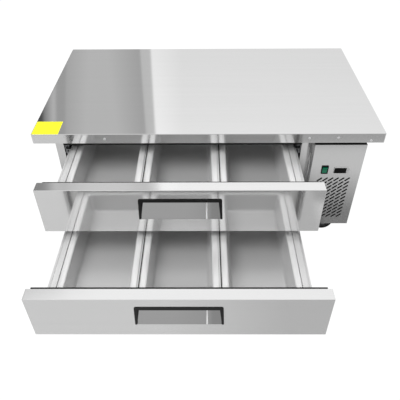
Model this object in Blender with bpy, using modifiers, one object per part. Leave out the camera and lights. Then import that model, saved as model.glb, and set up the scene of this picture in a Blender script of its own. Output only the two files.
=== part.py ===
"""A two-drawer refrigerated chef base on casters, at its real size, with both drawers pulled open.

Metres, +Z up, +X to the right, +Y to the back. The origin is on the floor, under the middle of the whole
object as it stands here. Both drawers slide along Y, so each drawer's pieces hang from one empty.
"""
import math

import bmesh
import bpy
from mathutils import Matrix, Vector

# Overall sizes
TOP_WIDTH = 1.534
TOP_DEPTH = 0.838
HEIGHT = 0.676
UPPER_OPEN = 0.270
LOWER_OPEN = 0.607
GAP = 0.0003
OVERRUN = 0.004
JOIN = 0.0002
SHEET = 0.001
ARC_STEPS = 2

# Worktop
TOP_SHEET = 0.0012
TOP_DROP = 0.048
TOP_LIP = 0.015
TOP_EDGE = 0.0025
TOP_CORNER = 0.004
CORE_THICK = 0.0442

# Cold cabinet, left of the machine compartment
CABINET_CENTRE_X = -0.115
CABINET_HALF = 0.5755
CAVITY_HALF = 0.5395
BODY_BOTTOM = 0.123
BASE_THICK = 0.0022
FACE_SETBACK = 0.056
CABINET_BACK_GAP = 0.030
BACK_WALL = 0.036
FACE_DEPTH = 0.014
CAVITY_LIFT = 0.027
CAVITY_CEILING = 0.0303
CAVITY_CORNER = 0.012
SHELL_CORNER = 0.004

# Drawers
FRONT_WIDTH = 1.164
FRONTS_BELOW_BODY_TOP = 0.0348
FRONT_THICK = 0.048
FRONT_GAP = 0.0035
FRONT_EDGE = 0.0015
FRONT_CORNER = 0.002
FRONT_LIP = 0.012
OPENING_MARGIN = 0.027
OPENING_TOP_MARGIN = 0.0185
GASKET_WIDTH = 0.014
GASKET_INSET_X = 0.018
GASKET_INSET_Z = 0.003
RIM_DROP = 0.033
CARRIER_LENGTH = 0.600

# Handles
HANDLE_WIDTH = 0.347
HANDLE_FLARE = 0.0035
HANDLE_HEIGHT = 0.114
HANDLE_BELOW_TOP = 0.046
HANDLE_PROUD = 0.002
HANDLE_CORNER = 0.008
BAR_HEIGHT = 0.018
LEG_WIDTH = 0.008
LEG_WIDTH_TOP = 0.014
LEG_LAP = 0.007
GRIP_DEPTH = 0.012
GRIP_THICK = 0.005
CHEEK = 0.0025
CHEEK_INSET = 0.004
SCOOP_DEPTH = 0.030
SCOOP_HOLLOW = 0.012
SCOOP_SHEET = 0.0008

# Pans and their carrier
PAN_WIDTH = 0.310
PAN_LENGTH = 0.530
PAN_DEPTH = 0.100
PAN_COUNT = 3
PAN_SHEET = 0.0008
PAN_RIM = 0.0125
PAN_BEND = 0.016
PAN_LIP = 0.005
PAN_LIP_BEND = 0.002
PAN_CORNER = 0.030
PAN_RIM_CORNER = 0.012
PAN_TAPER = 0.008
PAN_FOOT = 0.014
PAN_INNER_GAP = 0.0008
PAN_OUTER_GAP = 0.004
BAR_WEB = 0.008
BAR_FLANGE = 0.036
BAR_HUNG = 0.008
RAIL_SHEET = 0.0015
RAIL_HALF = 0.4925
RAIL_DEPTH = 0.050
RAIL_HEM = 0.0025
RAIL_RETURN = 0.020
RAIL_STEP = 0.479
LEDGE_INNER = 0.463
CROSS_DEPTH = 0.045
CROSS_LEDGE = 0.014
PAN_SETBACK = 0.0035

# Telescopic slides
SLIDE_SHEET = 0.0016
SLIDE_BELOW_RIM = 0.0225
OUTER_HALF_HEIGHT = 0.022
OUTER_REACH = 0.018
RUNNER_OUTER = 0.5145
RUNNER_WIDTH = 0.013
MIDDLE_OUTER = 0.527
MIDDLE_INNER = 0.509
MIDDLE_LENGTH = 0.490
SLIDE_LENGTH = 0.600
SLIDE_SETBACK = 0.002
STANDOFF_LENGTH = 0.040
STANDOFF_HEIGHT = 0.020
STANDOFF_SHARES = (0.06, 0.5, 0.94)

# Machine compartment and its front grille
MACHINE_LEFT = 0.470
MACHINE_RIGHT = 0.698
PANEL_BELOW_TOP = 0.060
PANEL_SHEET = 0.0012
PANEL_EDGE = 0.002
SIDE_FLANGE = 0.015
SLOT_COLUMNS = 6
SLOT_PITCH_X = 0.0256
SLOT_PITCH_Z = 0.0235
SLOT_LENGTH = 0.0285
SLOT_WIDTH = 0.006
SLOT_TILT = math.radians(43.0)
SLOT_FIRST_X = 0.5175
SLOT_FIRST_BELOW_TOP = 0.260
SLOT_FOOT = 0.045
SLOT_STEPS = 2
LOUVRE_COLUMNS = 2
LOUVRE_LENGTH = 0.080
LOUVRE_WIDTH = 0.008
LOUVRE_PITCH_X = 0.098
LOUVRE_PITCH_Z = 0.024
LOUVRE_FIRST_BELOW_TOP = 0.150
LOUVRE_ABOVE_INLET = 0.040

# Switch and controller
SWITCH_INSET = 0.0625
SWITCH_BELOW_TOP = 0.201
SWITCH_WIDTH = 0.031
SWITCH_HEIGHT = 0.046
SWITCH_FLANGE = 0.0035
SWITCH_PROUD = 0.003
SWITCH_DEPTH = 0.022
ROCKER_SWING = math.radians(11.0)
ROCKER_DEEP = 0.006
ROCKER_BACK = 0.004
CONTROL_INSET = 0.0895
CONTROL_BELOW_TOP = 0.2033
CONTROL_WIDTH = 0.068
CONTROL_HEIGHT = 0.0325
CONTROL_FLANGE = 0.003
CONTROL_PROUD = 0.004
CONTROL_DEPTH = 0.035
WINDOW_WIDTH = 0.050
WINDOW_HEIGHT = 0.024
WINDOW_SINK = 0.001
BUTTON_WIDTH = 0.0085
BUTTON_HEIGHT = 0.0085
BUTTON_PITCH = 0.013
BUTTON_PROUD = 0.0008
BUTTON_DEPTH = 0.004
BUTTON_TRAVEL = 0.001

# Condenser, fan and compressor
COIL_WIDTH = 0.190
COIL_BELOW_BOX = 0.0605
COIL_DEPTH = 0.044
COIL_FINS = 22
FIN_THICK = 0.0016
COIL_SPINE = 0.004
COIL_END = 0.002
COIL_INSET = 0.118
COIL_LIFT = 0.045
COIL_SETBACK = 0.006
SHROUD_SHEET = 0.0016
SHROUD_RING = 0.028
SHROUD_GAP = 0.003
FAN_MARGIN = 0.019
FAN_TIP_GAP = 0.004
FAN_BLADES = 5
FAN_HUB = 0.022
FAN_HUB_LENGTH = 0.016
FAN_BORE = 0.0035
FAN_BLADE = 0.0016
FAN_CHORD = 0.046
FAN_PITCH = math.radians(24.0)
FAN_TWIST = math.radians(-10.0)
FAN_CAMBER = 0.0025
MOTOR_RADIUS = 0.030
MOTOR_LENGTH = 0.040
MOTOR_ARMS = 3
ARM_WIDTH = 0.010
ARM_THICK = 0.003
SHAFT_RADIUS = 0.0032
COMPRESSOR_RADIUS = 0.072
COMPRESSOR_HEIGHT = 0.165
COMPRESSOR_INSET = 0.118
COMPRESSOR_SETBACK = 0.400
COMPRESSOR_FOOT = 0.004
COMPRESSOR_FOOT_HALF = 0.085
COMPRESSOR_LIFT = 0.012
GROMMET_RADIUS = 0.010
GROMMET_INSET = 0.014
TERMINAL = 0.045
PIPE_RADIUS = 0.004
BOX_HEIGHT = 0.100
BOX_DEPTH = 0.110
BOX_LEFT = 0.510
BOX_BELOW_TOP = 0.075
BOX_SETBACK = 0.046
INLET_WIDTH = 0.040
INLET_HEIGHT = 0.030
INLET_PROUD = 0.006
INLET_HOLE_WIDTH = 0.024
INLET_HOLE_HEIGHT = 0.016
INLET_LIFT = 0.133

# Evaporator at the back of the cavity
EVAPORATOR_WIDTH = 0.760
EVAPORATOR_HEIGHT = 0.200
EVAPORATOR_DEPTH = 0.060
EVAPORATOR_FINS = 16
EVAPORATOR_BELOW_TOP = 0.065
COVER_MARGIN = 0.020
COVER_DEPTH = 0.1035
COVER_CORNER = 0.006

# Casters
CASTER_RADIUS = 0.050
CASTER_WIDTH = 0.030
CASTER_TREAD = 0.008
CASTER_HUB = 0.018
CASTER_BORE = 0.0065
AXLE_RADIUS = 0.006
CASTER_TRAIL = 0.030
CASTER_INSET_X = 0.063
CASTER_FRONT = 0.095
CASTER_REAR = 0.760
CASTER_TURNS = (0.0, 180.0, 60.0, 130.0)
PLATE_LENGTH = 0.095
PLATE_WIDTH = 0.070
PLATE_THICK = 0.003
KINGPIN_RADIUS = 0.007
KINGPIN_HEAD = 0.011
KINGPIN_HEAD_THICK = 0.002
RACE_RADIUS = 0.024
RACE_THICK = 0.006
FORK_THICK = 0.003
FORK_TOP_LENGTH = 0.052
FORK_LEG = 0.0028
FORK_LEG_WIDTH = 0.026
FORK_CLEAR = 0.002
PEDAL_PIN_X = 0.020
PEDAL_PIN_BELOW = 0.005
PEDAL_PIN = 0.0024
PEDAL_HUB = 0.0044
PEDAL_ARM_WIDTH = 0.030
PEDAL_THICK = 0.003
PEDAL_REACH = 0.072
PEDAL_PAD_WIDTH = 0.046
PEDAL_PAD_START = 0.024
PEDAL_DROP = 0.007

# Steps round curved pieces
ROUND_STEPS = 20
WHEEL_STEPS = 20
SMALL_STEPS = 12
DOME_STEPS = 4
BLADE_STEPS = 3
CHORD_STEPS = 2

# Worked out from the sizes above
BACK_Y = (TOP_DEPTH + LOWER_OPEN + HANDLE_PROUD) / 2
TOP_FRONT_Y = BACK_Y - TOP_DEPTH
BODY_TOP = HEIGHT - TOP_SHEET - GAP - CORE_THICK
FACE_Y = TOP_FRONT_Y + FACE_SETBACK
CABINET_BACK_Y = BACK_Y - CABINET_BACK_GAP
SHELL_BOTTOM = BODY_BOTTOM + BASE_THICK + GAP
SHELL_FRONT_Y = FACE_Y + FACE_DEPTH + GAP
CAVITY_BACK_Y = CABINET_BACK_Y - BACK_WALL
CAVITY_FLOOR = BODY_BOTTOM + CAVITY_LIFT
CAVITY_TOP = BODY_TOP - CAVITY_CEILING
FRONT_HEIGHT = (BODY_TOP - FRONTS_BELOW_BODY_TOP - BODY_BOTTOM - FRONT_GAP) / 2
CABINET_LEFT = CABINET_CENTRE_X - CABINET_HALF
CABINET_RIGHT = CABINET_CENTRE_X + CABINET_HALF
GASKET_THICK = FACE_SETBACK - FRONT_THICK - GAP
PAN_PITCH = PAN_WIDTH + BAR_WEB + PAN_INNER_GAP + PAN_OUTER_GAP
BAR_X = PAN_WIDTH / 2 + PAN_INNER_GAP + BAR_WEB / 2
RIM_Z = FRONT_HEIGHT - RIM_DROP
LEDGE_Z = RIM_Z - PAN_LIP - GAP
SLIDE_Z = RIM_Z - SLIDE_BELOW_RIM
CARRIER_FRONT = FRONT_THICK + GAP
CARRIER_BACK = CARRIER_FRONT + CARRIER_LENGTH
HANDLE_TOP = FRONT_HEIGHT - HANDLE_BELOW_TOP
HANDLE_BOTTOM = HANDLE_TOP - HANDLE_HEIGHT
POCKET_HALF = HANDLE_WIDTH / 2 - LEG_LAP
PANEL_TOP = HEIGHT - PANEL_BELOW_TOP
SWITCH_X = MACHINE_LEFT + SWITCH_INSET
CONTROL_X = MACHINE_RIGHT - CONTROL_INSET
COIL_CENTRE_X = MACHINE_RIGHT - COIL_INSET
COMPRESSOR_X = MACHINE_RIGHT - COMPRESSOR_INSET
COIL_BOTTOM = BODY_BOTTOM + BASE_THICK + GAP + COIL_LIFT
COIL_HEIGHT = PANEL_TOP - BOX_BELOW_TOP - BOX_HEIGHT / 2 - COIL_BELOW_BOX - COIL_BOTTOM
FAN_RADIUS = min(COIL_WIDTH, COIL_HEIGHT) / 2 - FAN_MARGIN
INLET_Z = BODY_BOTTOM + INLET_LIFT
SLOT_SPAN = HEIGHT - SLOT_FIRST_BELOW_TOP - SLOT_FOOT - BODY_BOTTOM
SLOT_ROWS = int(SLOT_SPAN / SLOT_PITCH_Z) + 1
LOUVRE_SPAN = HEIGHT - LOUVRE_FIRST_BELOW_TOP - LOUVRE_ABOVE_INLET - INLET_Z
LOUVRE_ROWS = int(LOUVRE_SPAN / LOUVRE_PITCH_Z) + 1
FRONT_BOTTOMS = (BODY_BOTTOM + FRONT_HEIGHT + FRONT_GAP, BODY_BOTTOM)
FRONT_OPENS = (UPPER_OPEN, LOWER_OPEN)
DRAWER_NAMES = ("upper", "lower")
SIDES = (("left", -1), ("right", 1))

FACING_FRONT = Matrix(((1, 0, 0, 0), (0, 0, 1, 0), (0, 1, 0, 0), (0, 0, 0, 1)))
ALONG_X = Matrix(((0, 0, 1, 0), (1, 0, 0, 0), (0, 1, 0, 0), (0, 0, 0, 1)))
FACING_DOWN = Matrix(((1, 0, 0, 0), (0, 1, 0, 0), (0, 0, -1, 0), (0, 0, 0, 1)))


def clear_scene():
    for obj in list(bpy.data.objects):
        bpy.data.objects.remove(obj, do_unlink=True)


def new_collection(name):
    made = bpy.data.collections.new(name)
    bpy.context.scene.collection.children.link(made)
    return made


def new_material(name, colour, roughness, metallic):
    made = bpy.data.materials.new(name)
    made.use_nodes = True
    shader = made.node_tree.nodes["Principled BSDF"]
    shader.inputs["Base Color"].default_value = (*colour, 1)
    shader.inputs["Roughness"].default_value = roughness
    shader.inputs["Metallic"].default_value = metallic
    made.diffuse_color = (*colour, 1)
    return made


clear_scene()
PARTS = new_collection("refrigerated_chef_base")
CUTTERS = new_collection("cutters")
STEEL = new_material("brushed_steel", (0.62, 0.63, 0.64), 0.30, 1.0)
PAN_STEEL = new_material("pan_steel", (0.60, 0.61, 0.62), 0.28, 1.0)
GALVANISED = new_material("galvanised_steel", (0.52, 0.54, 0.56), 0.45, 1.0)
ALUMINIUM = new_material("aluminium_fins", (0.70, 0.71, 0.72), 0.40, 1.0)
BLACK_PAINT = new_material("black_paint", (0.02, 0.02, 0.022), 0.40, 0.0)
BLACK_PLASTIC = new_material("black_plastic", (0.03, 0.03, 0.03), 0.45, 0.0)
GREY_PLASTIC = new_material("grey_plastic", (0.70, 0.71, 0.71), 0.40, 0.0)
GREEN_PLASTIC = new_material("green_plastic", (0.01, 0.28, 0.14), 0.30, 0.0)
GASKET_RUBBER = new_material("gasket_rubber", (0.05, 0.05, 0.05), 0.60, 0.0)
TYRE_RUBBER = new_material("tyre_rubber", (0.02, 0.02, 0.02), 0.60, 0.0)
FOAM = new_material("insulation_foam", (0.80, 0.72, 0.45), 0.90, 0.0)
ZINC = new_material("zinc_plate", (0.65, 0.66, 0.67), 0.35, 1.0)


def mesh_from(bm, name):
    """Weld what meets, turn the faces outwards and make a mesh datablock."""
    bmesh.ops.remove_doubles(bm, verts=bm.verts, dist=GAP / 10)
    bmesh.ops.recalc_face_normals(bm, faces=bm.faces)
    mesh = bpy.data.meshes.new(name)
    bm.to_mesh(mesh)
    bm.free()
    return mesh


def solid(name, mesh, finish=None, round_angle=None):
    """An object for a mesh, in the collection of parts, with its finish."""
    if finish:
        mesh.materials.clear()
        mesh.materials.append(finish)
    if round_angle:
        mesh.shade_smooth()
        mesh.set_sharp_from_angle(angle=round_angle)
    obj = bpy.data.objects.new(name, mesh)
    PARTS.objects.link(obj)
    return obj


def settled(obj):
    """The object's evaluated shape as a plain welded mesh. The object itself is removed."""
    bpy.context.view_layer.update()
    graph = bpy.context.evaluated_depsgraph_get()
    mesh = bpy.data.meshes.new_from_object(obj.evaluated_get(graph), depsgraph=graph)
    mesh.transform(obj.matrix_world)
    bm = bmesh.new()
    bm.from_mesh(mesh)
    name = obj.name
    bpy.data.objects.remove(obj, do_unlink=True)
    return mesh_from(bm, name)


def block(low, high, chamfer=0):
    """A box mesh between two corners, its edges cut by a chamfer if one is given."""
    bm = bmesh.new()
    low, high = Vector(low), Vector(high)
    middle = Matrix.Translation((low + high) / 2)
    bmesh.ops.create_cube(bm, size=1, matrix=middle @ Matrix.Diagonal((*(high - low), 1)))
    if chamfer:
        bmesh.ops.bevel(bm, geom=bm.edges[:], offset=chamfer, segments=1, affect="EDGES")
    return mesh_from(bm, "block")


def rod(start, end, radius, steps=SMALL_STEPS, name="rod"):
    """A cylinder mesh between two points."""
    start, end = Vector(start), Vector(end)
    run = end - start
    place = Matrix.Translation((start + end) / 2) @ run.to_track_quat("Z", "Y").to_matrix().to_4x4()
    bm = bmesh.new()
    bmesh.ops.create_cone(bm, cap_ends=True, segments=steps, radius1=radius, radius2=radius,
                          depth=run.length, matrix=place)
    return mesh_from(bm, name)


def combined(first, others, operation):
    """One mesh from Booleans of a first mesh with the others."""
    whole = solid("whole", first)
    for other in others:
        tool = bpy.data.objects.new("tool", other)
        tool.hide_render = True
        tool.display_type = "WIRE"
        CUTTERS.objects.link(tool)
        step = whole.modifiers.new("step", "BOOLEAN")
        step.operation = operation
        step.solver = "EXACT"
        step.object = tool
        mesh = settled(whole)
        bpy.data.objects.remove(tool, do_unlink=True)
        whole = solid("whole", mesh)
    mesh = whole.data
    bpy.data.objects.remove(whole, do_unlink=True)
    return mesh


def fused(first, *others):
    return combined(first, others, "UNION")


def cut(first, *others):
    return combined(first, others, "DIFFERENCE")


def rounded_rectangle(half_u, half_v, radius, steps=ARC_STEPS):
    """Points round a rectangle whose corners are arcs."""
    points = []
    for corner in range(4):
        sign_u = (1, -1, -1, 1)[corner]
        sign_v = (1, 1, -1, -1)[corner]
        for step in range(steps + 1):
            angle = math.pi / 2 * (corner + step / steps)
            points.append((sign_u * (half_u - radius) + radius * math.cos(angle),
                           sign_v * (half_v - radius) + radius * math.sin(angle)))
    return points


def arc_profile(centre, radius, start, end, steps=ARC_STEPS):
    """Points (inset, depth) along an arc, for the bends of a folded sheet."""
    return [(centre[0] + radius * math.cos(start + (end - start) * step / steps),
             centre[1] + radius * math.sin(start + (end - start) * step / steps))
            for step in range(steps + 1)]


def edge_bend(radius, steps=ARC_STEPS):
    """The (inset, depth) points where a sheet's face bends down into its side."""
    return arc_profile((radius, radius), radius, -math.pi / 2, -math.pi, steps)


def drawn_rings(half_u, half_v, corner, profile, to_place, steps=ARC_STEPS, capped=False):
    """A face drawn out ring by ring: each (inset, depth) of the profile gives the next ring."""
    bm = bmesh.new()
    least = min(half_u, half_v)
    rings = []
    for inset, depth in profile:
        radius = min(max(corner - inset, GAP), least - inset - GAP)
        outline = rounded_rectangle(half_u - inset, half_v - inset, radius, steps)
        rings.append([to_place @ Vector((u, v, depth)) for u, v in outline])
    corners = [bm.verts.new(point) for point in rings[0]]
    loop = list(bm.faces.new(corners).edges)
    for ring in rings[1:]:
        drawn = bmesh.ops.extrude_edge_only(bm, edges=loop)["geom"]
        loop = [item for item in drawn if isinstance(item, bmesh.types.BMEdge)]
        fresh = {}
        for edge in loop:
            for vert in edge.verts:
                fresh[vert] = None
        for vert in fresh:
            index = min(range(len(corners)), key=lambda i: (corners[i].co - vert.co).length)
            fresh[vert] = index
        corners = [next(v for v, i in fresh.items() if i == index) for index in range(len(corners))]
        for vert, point in zip(corners, ring, strict=True):
            vert.co = point
    if capped:
        bmesh.ops.contextual_create(bm, geom=loop)
    return bm


def tray(half_u, half_v, corner, profile, thickness, to_place, outward=False, steps=ARC_STEPS):
    """An open folded or drawn sheet. Its profile is the outer surface, or the inner one if outward."""
    bm = drawn_rings(half_u, half_v, corner, profile, to_place, steps)
    obj = solid("tray", mesh_from(bm, "tray"))
    wall = obj.modifiers.new("wall", "SOLIDIFY")
    wall.thickness = thickness
    wall.offset = 1 if outward else -1
    wall.use_even_offset = True
    return settled(obj)


def plate(loops, thickness, to_place):
    """A flat sheet from one outline and its holes, centred on its own plane."""
    curve = bpy.data.curves.new("outline", "CURVE")
    curve.dimensions = "2D"
    curve.fill_mode = "BOTH"
    curve.extrude = thickness / 2
    for loop in loops:
        spline = curve.splines.new("POLY")
        spline.points.add(len(loop) - 1)
        for point, (u, v) in zip(spline.points, loop, strict=True):
            point.co = (u, v, 0, 1)
        spline.use_cyclic_u = True
    obj = bpy.data.objects.new("outline", curve)
    obj.matrix_world = to_place
    PARTS.objects.link(obj)
    return settled(obj)


def rectangle(low_u, low_v, high_u, high_v):
    return [(low_u, low_v), (high_u, low_v), (high_u, high_v), (low_u, high_v)]


def circle(centre_u, centre_v, radius, steps):
    return [(centre_u + radius * math.cos(2 * math.pi * i / steps),
             centre_v + radius * math.sin(2 * math.pi * i / steps)) for i in range(steps)]


def stadium(centre_u, centre_v, length, width, tilt, steps):
    """The outline of a slot with round ends."""
    points = []
    for end in (0, 1):
        for step in range(steps + 1):
            angle = math.pi * (step / steps - 1 / 2 + end)
            u = (length - width) / 2 * (1 - 2 * end) + width / 2 * math.cos(angle)
            v = width / 2 * math.sin(angle)
            points.append((centre_u + u * math.cos(tilt) - v * math.sin(tilt),
                           centre_v + u * math.sin(tilt) + v * math.cos(tilt)))
    return points


def turned(profile, steps, to_place, closed=False):
    """A profile of (radius, height) points spun round its own Z axis."""
    mesh = bpy.data.meshes.new("profile")
    links = [(i, i + 1) for i in range(len(profile) - 1)]
    if closed:
        links.append((len(profile) - 1, 0))
    mesh.from_pydata([(radius, 0, height) for radius, height in profile], links, [])
    obj = solid("turned", mesh)
    spin = obj.modifiers.new("spin", "SCREW")
    spin.steps = spin.render_steps = steps
    spin.use_merge_vertices = True
    spin.merge_threshold = GAP / 10
    obj.matrix_world = to_place
    return settled(obj)


def at(x, y, z, turn=None):
    place = Matrix.Translation((x, y, z))
    return place @ turn if turn else place


def moved(mesh, matrix):
    """A copy of a mesh under a matrix."""
    copy = mesh.copy()
    copy.transform(matrix)
    if matrix.determinant() < 0:
        copy.flip_normals()
    return copy


def hub(name, place, parent=None):
    """An empty that carries the pieces of one moving group."""
    empty = bpy.data.objects.new(name, None)
    empty.empty_display_size = RACE_RADIUS
    empty.matrix_world = place
    PARTS.objects.link(empty)
    if parent:
        empty.parent = parent
    return empty


def carried(name, mesh, finish, parent, round_angle=None):
    obj = solid(name, mesh, finish, round_angle)
    obj.parent = parent
    return obj


SMOOTH = math.radians(35)


def make_worktop():
    place = at(0, BACK_Y - TOP_DEPTH / 2, HEIGHT, FACING_DOWN)
    profile = [*edge_bend(TOP_EDGE), (0, TOP_DROP), (TOP_LIP, TOP_DROP)]
    mesh = tray(TOP_WIDTH / 2, TOP_DEPTH / 2, TOP_CORNER, profile, TOP_SHEET, place)
    solid("worktop", mesh, STEEL, SMOOTH)


def make_worktop_core():
    side = TOP_SHEET + GAP
    top = HEIGHT - side
    solid("worktop_core", block((-TOP_WIDTH / 2 + side, TOP_FRONT_Y + side, top - CORE_THICK),
                                (TOP_WIDTH / 2 - side, BACK_Y - side, top), TOP_CORNER - TOP_SHEET), FOAM)


def cabinet_tub(half, floor, top, corner, front_y, back_y, thickness, outward):
    """A box of sheet that is open to the front, drawn forward from its back wall."""
    place = at(CABINET_CENTRE_X, back_y, (floor + top) / 2, Matrix.Rotation(math.pi / 2, 4, "X"))
    profile = [*edge_bend(corner), (0, back_y - front_y)]
    return tray(half, (top - floor) / 2, corner, profile, thickness, place, outward)


def make_outer_shell():
    mesh = cabinet_tub(CABINET_HALF, SHELL_BOTTOM, BODY_TOP - GAP, SHELL_CORNER, SHELL_FRONT_Y,
                       CABINET_BACK_Y, SHEET, False)
    solid("outer_shell", mesh, STEEL, SMOOTH)


def make_liner():
    mesh = cabinet_tub(CAVITY_HALF, CAVITY_FLOOR, CAVITY_TOP, CAVITY_CORNER, SHELL_FRONT_Y,
                       CAVITY_BACK_Y, SHEET, True)
    solid("liner", mesh, STEEL, SMOOTH)


def make_insulation():
    skin = SHEET + GAP
    outside = block((CABINET_LEFT + skin, SHELL_FRONT_Y, SHELL_BOTTOM + skin),
                    (CABINET_RIGHT - skin, CABINET_BACK_Y - skin, BODY_TOP - GAP - skin), SHELL_CORNER - SHEET)
    inside = block((CABINET_CENTRE_X - CAVITY_HALF - skin, SHELL_FRONT_Y - OVERRUN, CAVITY_FLOOR - skin),
                   (CABINET_CENTRE_X + CAVITY_HALF + skin, CAVITY_BACK_Y + skin, CAVITY_TOP + skin))
    solid("insulation", cut(outside, inside), FOAM)


def opening_loop(bottom):
    """The outline of one drawer's opening in the face frame, under its front's bottom edge height."""
    return rectangle(CABINET_CENTRE_X - CAVITY_HALF, bottom + OPENING_MARGIN,
                     CABINET_CENTRE_X + CAVITY_HALF, bottom + FRONT_HEIGHT - OPENING_TOP_MARGIN)


def make_front_frame():
    outline = rectangle(CABINET_LEFT, SHELL_BOTTOM, CABINET_RIGHT, BODY_TOP - GAP)
    place = at(0, FACE_Y + FACE_DEPTH / 2, 0, FACING_FRONT)
    mesh = plate([outline, *(opening_loop(bottom) for bottom in FRONT_BOTTOMS)], FACE_DEPTH, place)
    solid("front_frame", mesh, STEEL)


def caster_places():
    """Where the four kingpins stand: front left, front right, rear left, rear right."""
    left = CABINET_LEFT + CASTER_INSET_X
    right = MACHINE_RIGHT - CASTER_INSET_X
    return [(x, TOP_FRONT_Y + setback) for setback in (CASTER_FRONT, CASTER_REAR) for x in (left, right)]


def make_base_frame():
    sheet = block((CABINET_LEFT, FACE_Y + GAP, BODY_BOTTOM),
                  (MACHINE_RIGHT, CABINET_BACK_Y, BODY_BOTTOM + BASE_THICK))
    pieces = []
    plate_bottom = BODY_BOTTOM - PLATE_THICK
    pin_bottom = plate_bottom - RACE_THICK - FORK_THICK - 2 * GAP - KINGPIN_HEAD_THICK
    for x, y in caster_places():
        pieces.append(block((x - PLATE_LENGTH / 2, y - PLATE_WIDTH / 2, plate_bottom),
                            (x + PLATE_LENGTH / 2, y + PLATE_WIDTH / 2, BODY_BOTTOM + JOIN)))
        pieces.append(rod((x, y, pin_bottom + JOIN), (x, y, plate_bottom + JOIN), KINGPIN_RADIUS))
        pieces.append(rod((x, y, pin_bottom), (x, y, pin_bottom + KINGPIN_HEAD_THICK), KINGPIN_HEAD))
    solid("base_frame", fused(sheet, *pieces), GALVANISED)


def grille_slots():
    """The slanting slots of the front grille, row by row."""
    top = HEIGHT - SLOT_FIRST_BELOW_TOP
    return [stadium(SLOT_FIRST_X + column * SLOT_PITCH_X, top - row * SLOT_PITCH_Z,
                    SLOT_LENGTH, SLOT_WIDTH, SLOT_TILT, SLOT_STEPS)
            for row in range(SLOT_ROWS) for column in range(SLOT_COLUMNS)]


def panel_hole(centre_x, below_top, width, height, flange):
    """The cut-out that a switch or controller body passes through."""
    half_u = width / 2 - flange + GAP
    half_v = height / 2 - flange + GAP
    z = HEIGHT - below_top
    return rectangle(centre_x - half_u, z - half_v, centre_x + half_u, z + half_v)


def make_machine_front_panel():
    outline = rectangle(MACHINE_LEFT, BODY_BOTTOM, MACHINE_RIGHT, PANEL_TOP)
    holes = [panel_hole(SWITCH_X, SWITCH_BELOW_TOP, SWITCH_WIDTH, SWITCH_HEIGHT, SWITCH_FLANGE),
             panel_hole(CONTROL_X, CONTROL_BELOW_TOP, CONTROL_WIDTH, CONTROL_HEIGHT, CONTROL_FLANGE)]
    face = plate([outline, *holes], PANEL_SHEET, at(0, TOP_FRONT_Y + PANEL_SHEET / 2, 0, FACING_FRONT))
    slots = plate(grille_slots(), 3 * PANEL_SHEET, at(0, TOP_FRONT_Y + PANEL_SHEET / 2, 0, FACING_FRONT))
    inner = rectangle(MACHINE_LEFT + PANEL_SHEET, BODY_BOTTOM + PANEL_SHEET,
                      MACHINE_RIGHT - PANEL_SHEET, PANEL_TOP - PANEL_SHEET)
    depth = FACE_SETBACK - PANEL_SHEET / 2
    sides = plate([outline, inner], depth, at(0, TOP_FRONT_Y + PANEL_SHEET / 2 + depth / 2, 0, FACING_FRONT))
    solid("machine_front_panel", cut(fused(face, sides), slots), STEEL)


def make_machine_side_panel():
    front, back = FACE_Y + GAP, CABINET_BACK_Y
    place = at(MACHINE_RIGHT, (front + back) / 2, (SHELL_BOTTOM + BODY_TOP - GAP) / 2,
               Matrix.Rotation(-math.pi / 2, 4, "Y"))
    profile = [*edge_bend(PANEL_EDGE), (0, SIDE_FLANGE)]
    mesh = tray((BODY_TOP - GAP - SHELL_BOTTOM) / 2, (back - front) / 2, PANEL_EDGE, profile,
                SHEET, place)
    solid("machine_side_panel", mesh, STEEL, SMOOTH)


def make_machine_back_panel():
    outline = rectangle(CABINET_RIGHT + GAP, SHELL_BOTTOM, MACHINE_RIGHT - SIDE_FLANGE - GAP, BODY_TOP - GAP)
    middle = (CABINET_RIGHT + MACHINE_RIGHT - SIDE_FLANGE) / 2
    first_z = HEIGHT - LOUVRE_FIRST_BELOW_TOP
    slots = [stadium(middle + (column - (LOUVRE_COLUMNS - 1) / 2) * LOUVRE_PITCH_X,
                     first_z - row * LOUVRE_PITCH_Z, LOUVRE_LENGTH, LOUVRE_WIDTH, 0, ARC_STEPS)
             for row in range(LOUVRE_ROWS) for column in range(LOUVRE_COLUMNS)]
    z = INLET_Z
    hole = rectangle(middle - INLET_WIDTH / 2 + INLET_PROUD, z - INLET_HEIGHT / 2 + INLET_PROUD,
                     middle + INLET_WIDTH / 2 - INLET_PROUD, z + INLET_HEIGHT / 2 - INLET_PROUD)
    mesh = plate([outline, *slots, hole], SHEET, at(0, CABINET_BACK_Y - SHEET / 2, 0, FACING_FRONT))
    solid("machine_back_panel", mesh, GALVANISED)


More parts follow.
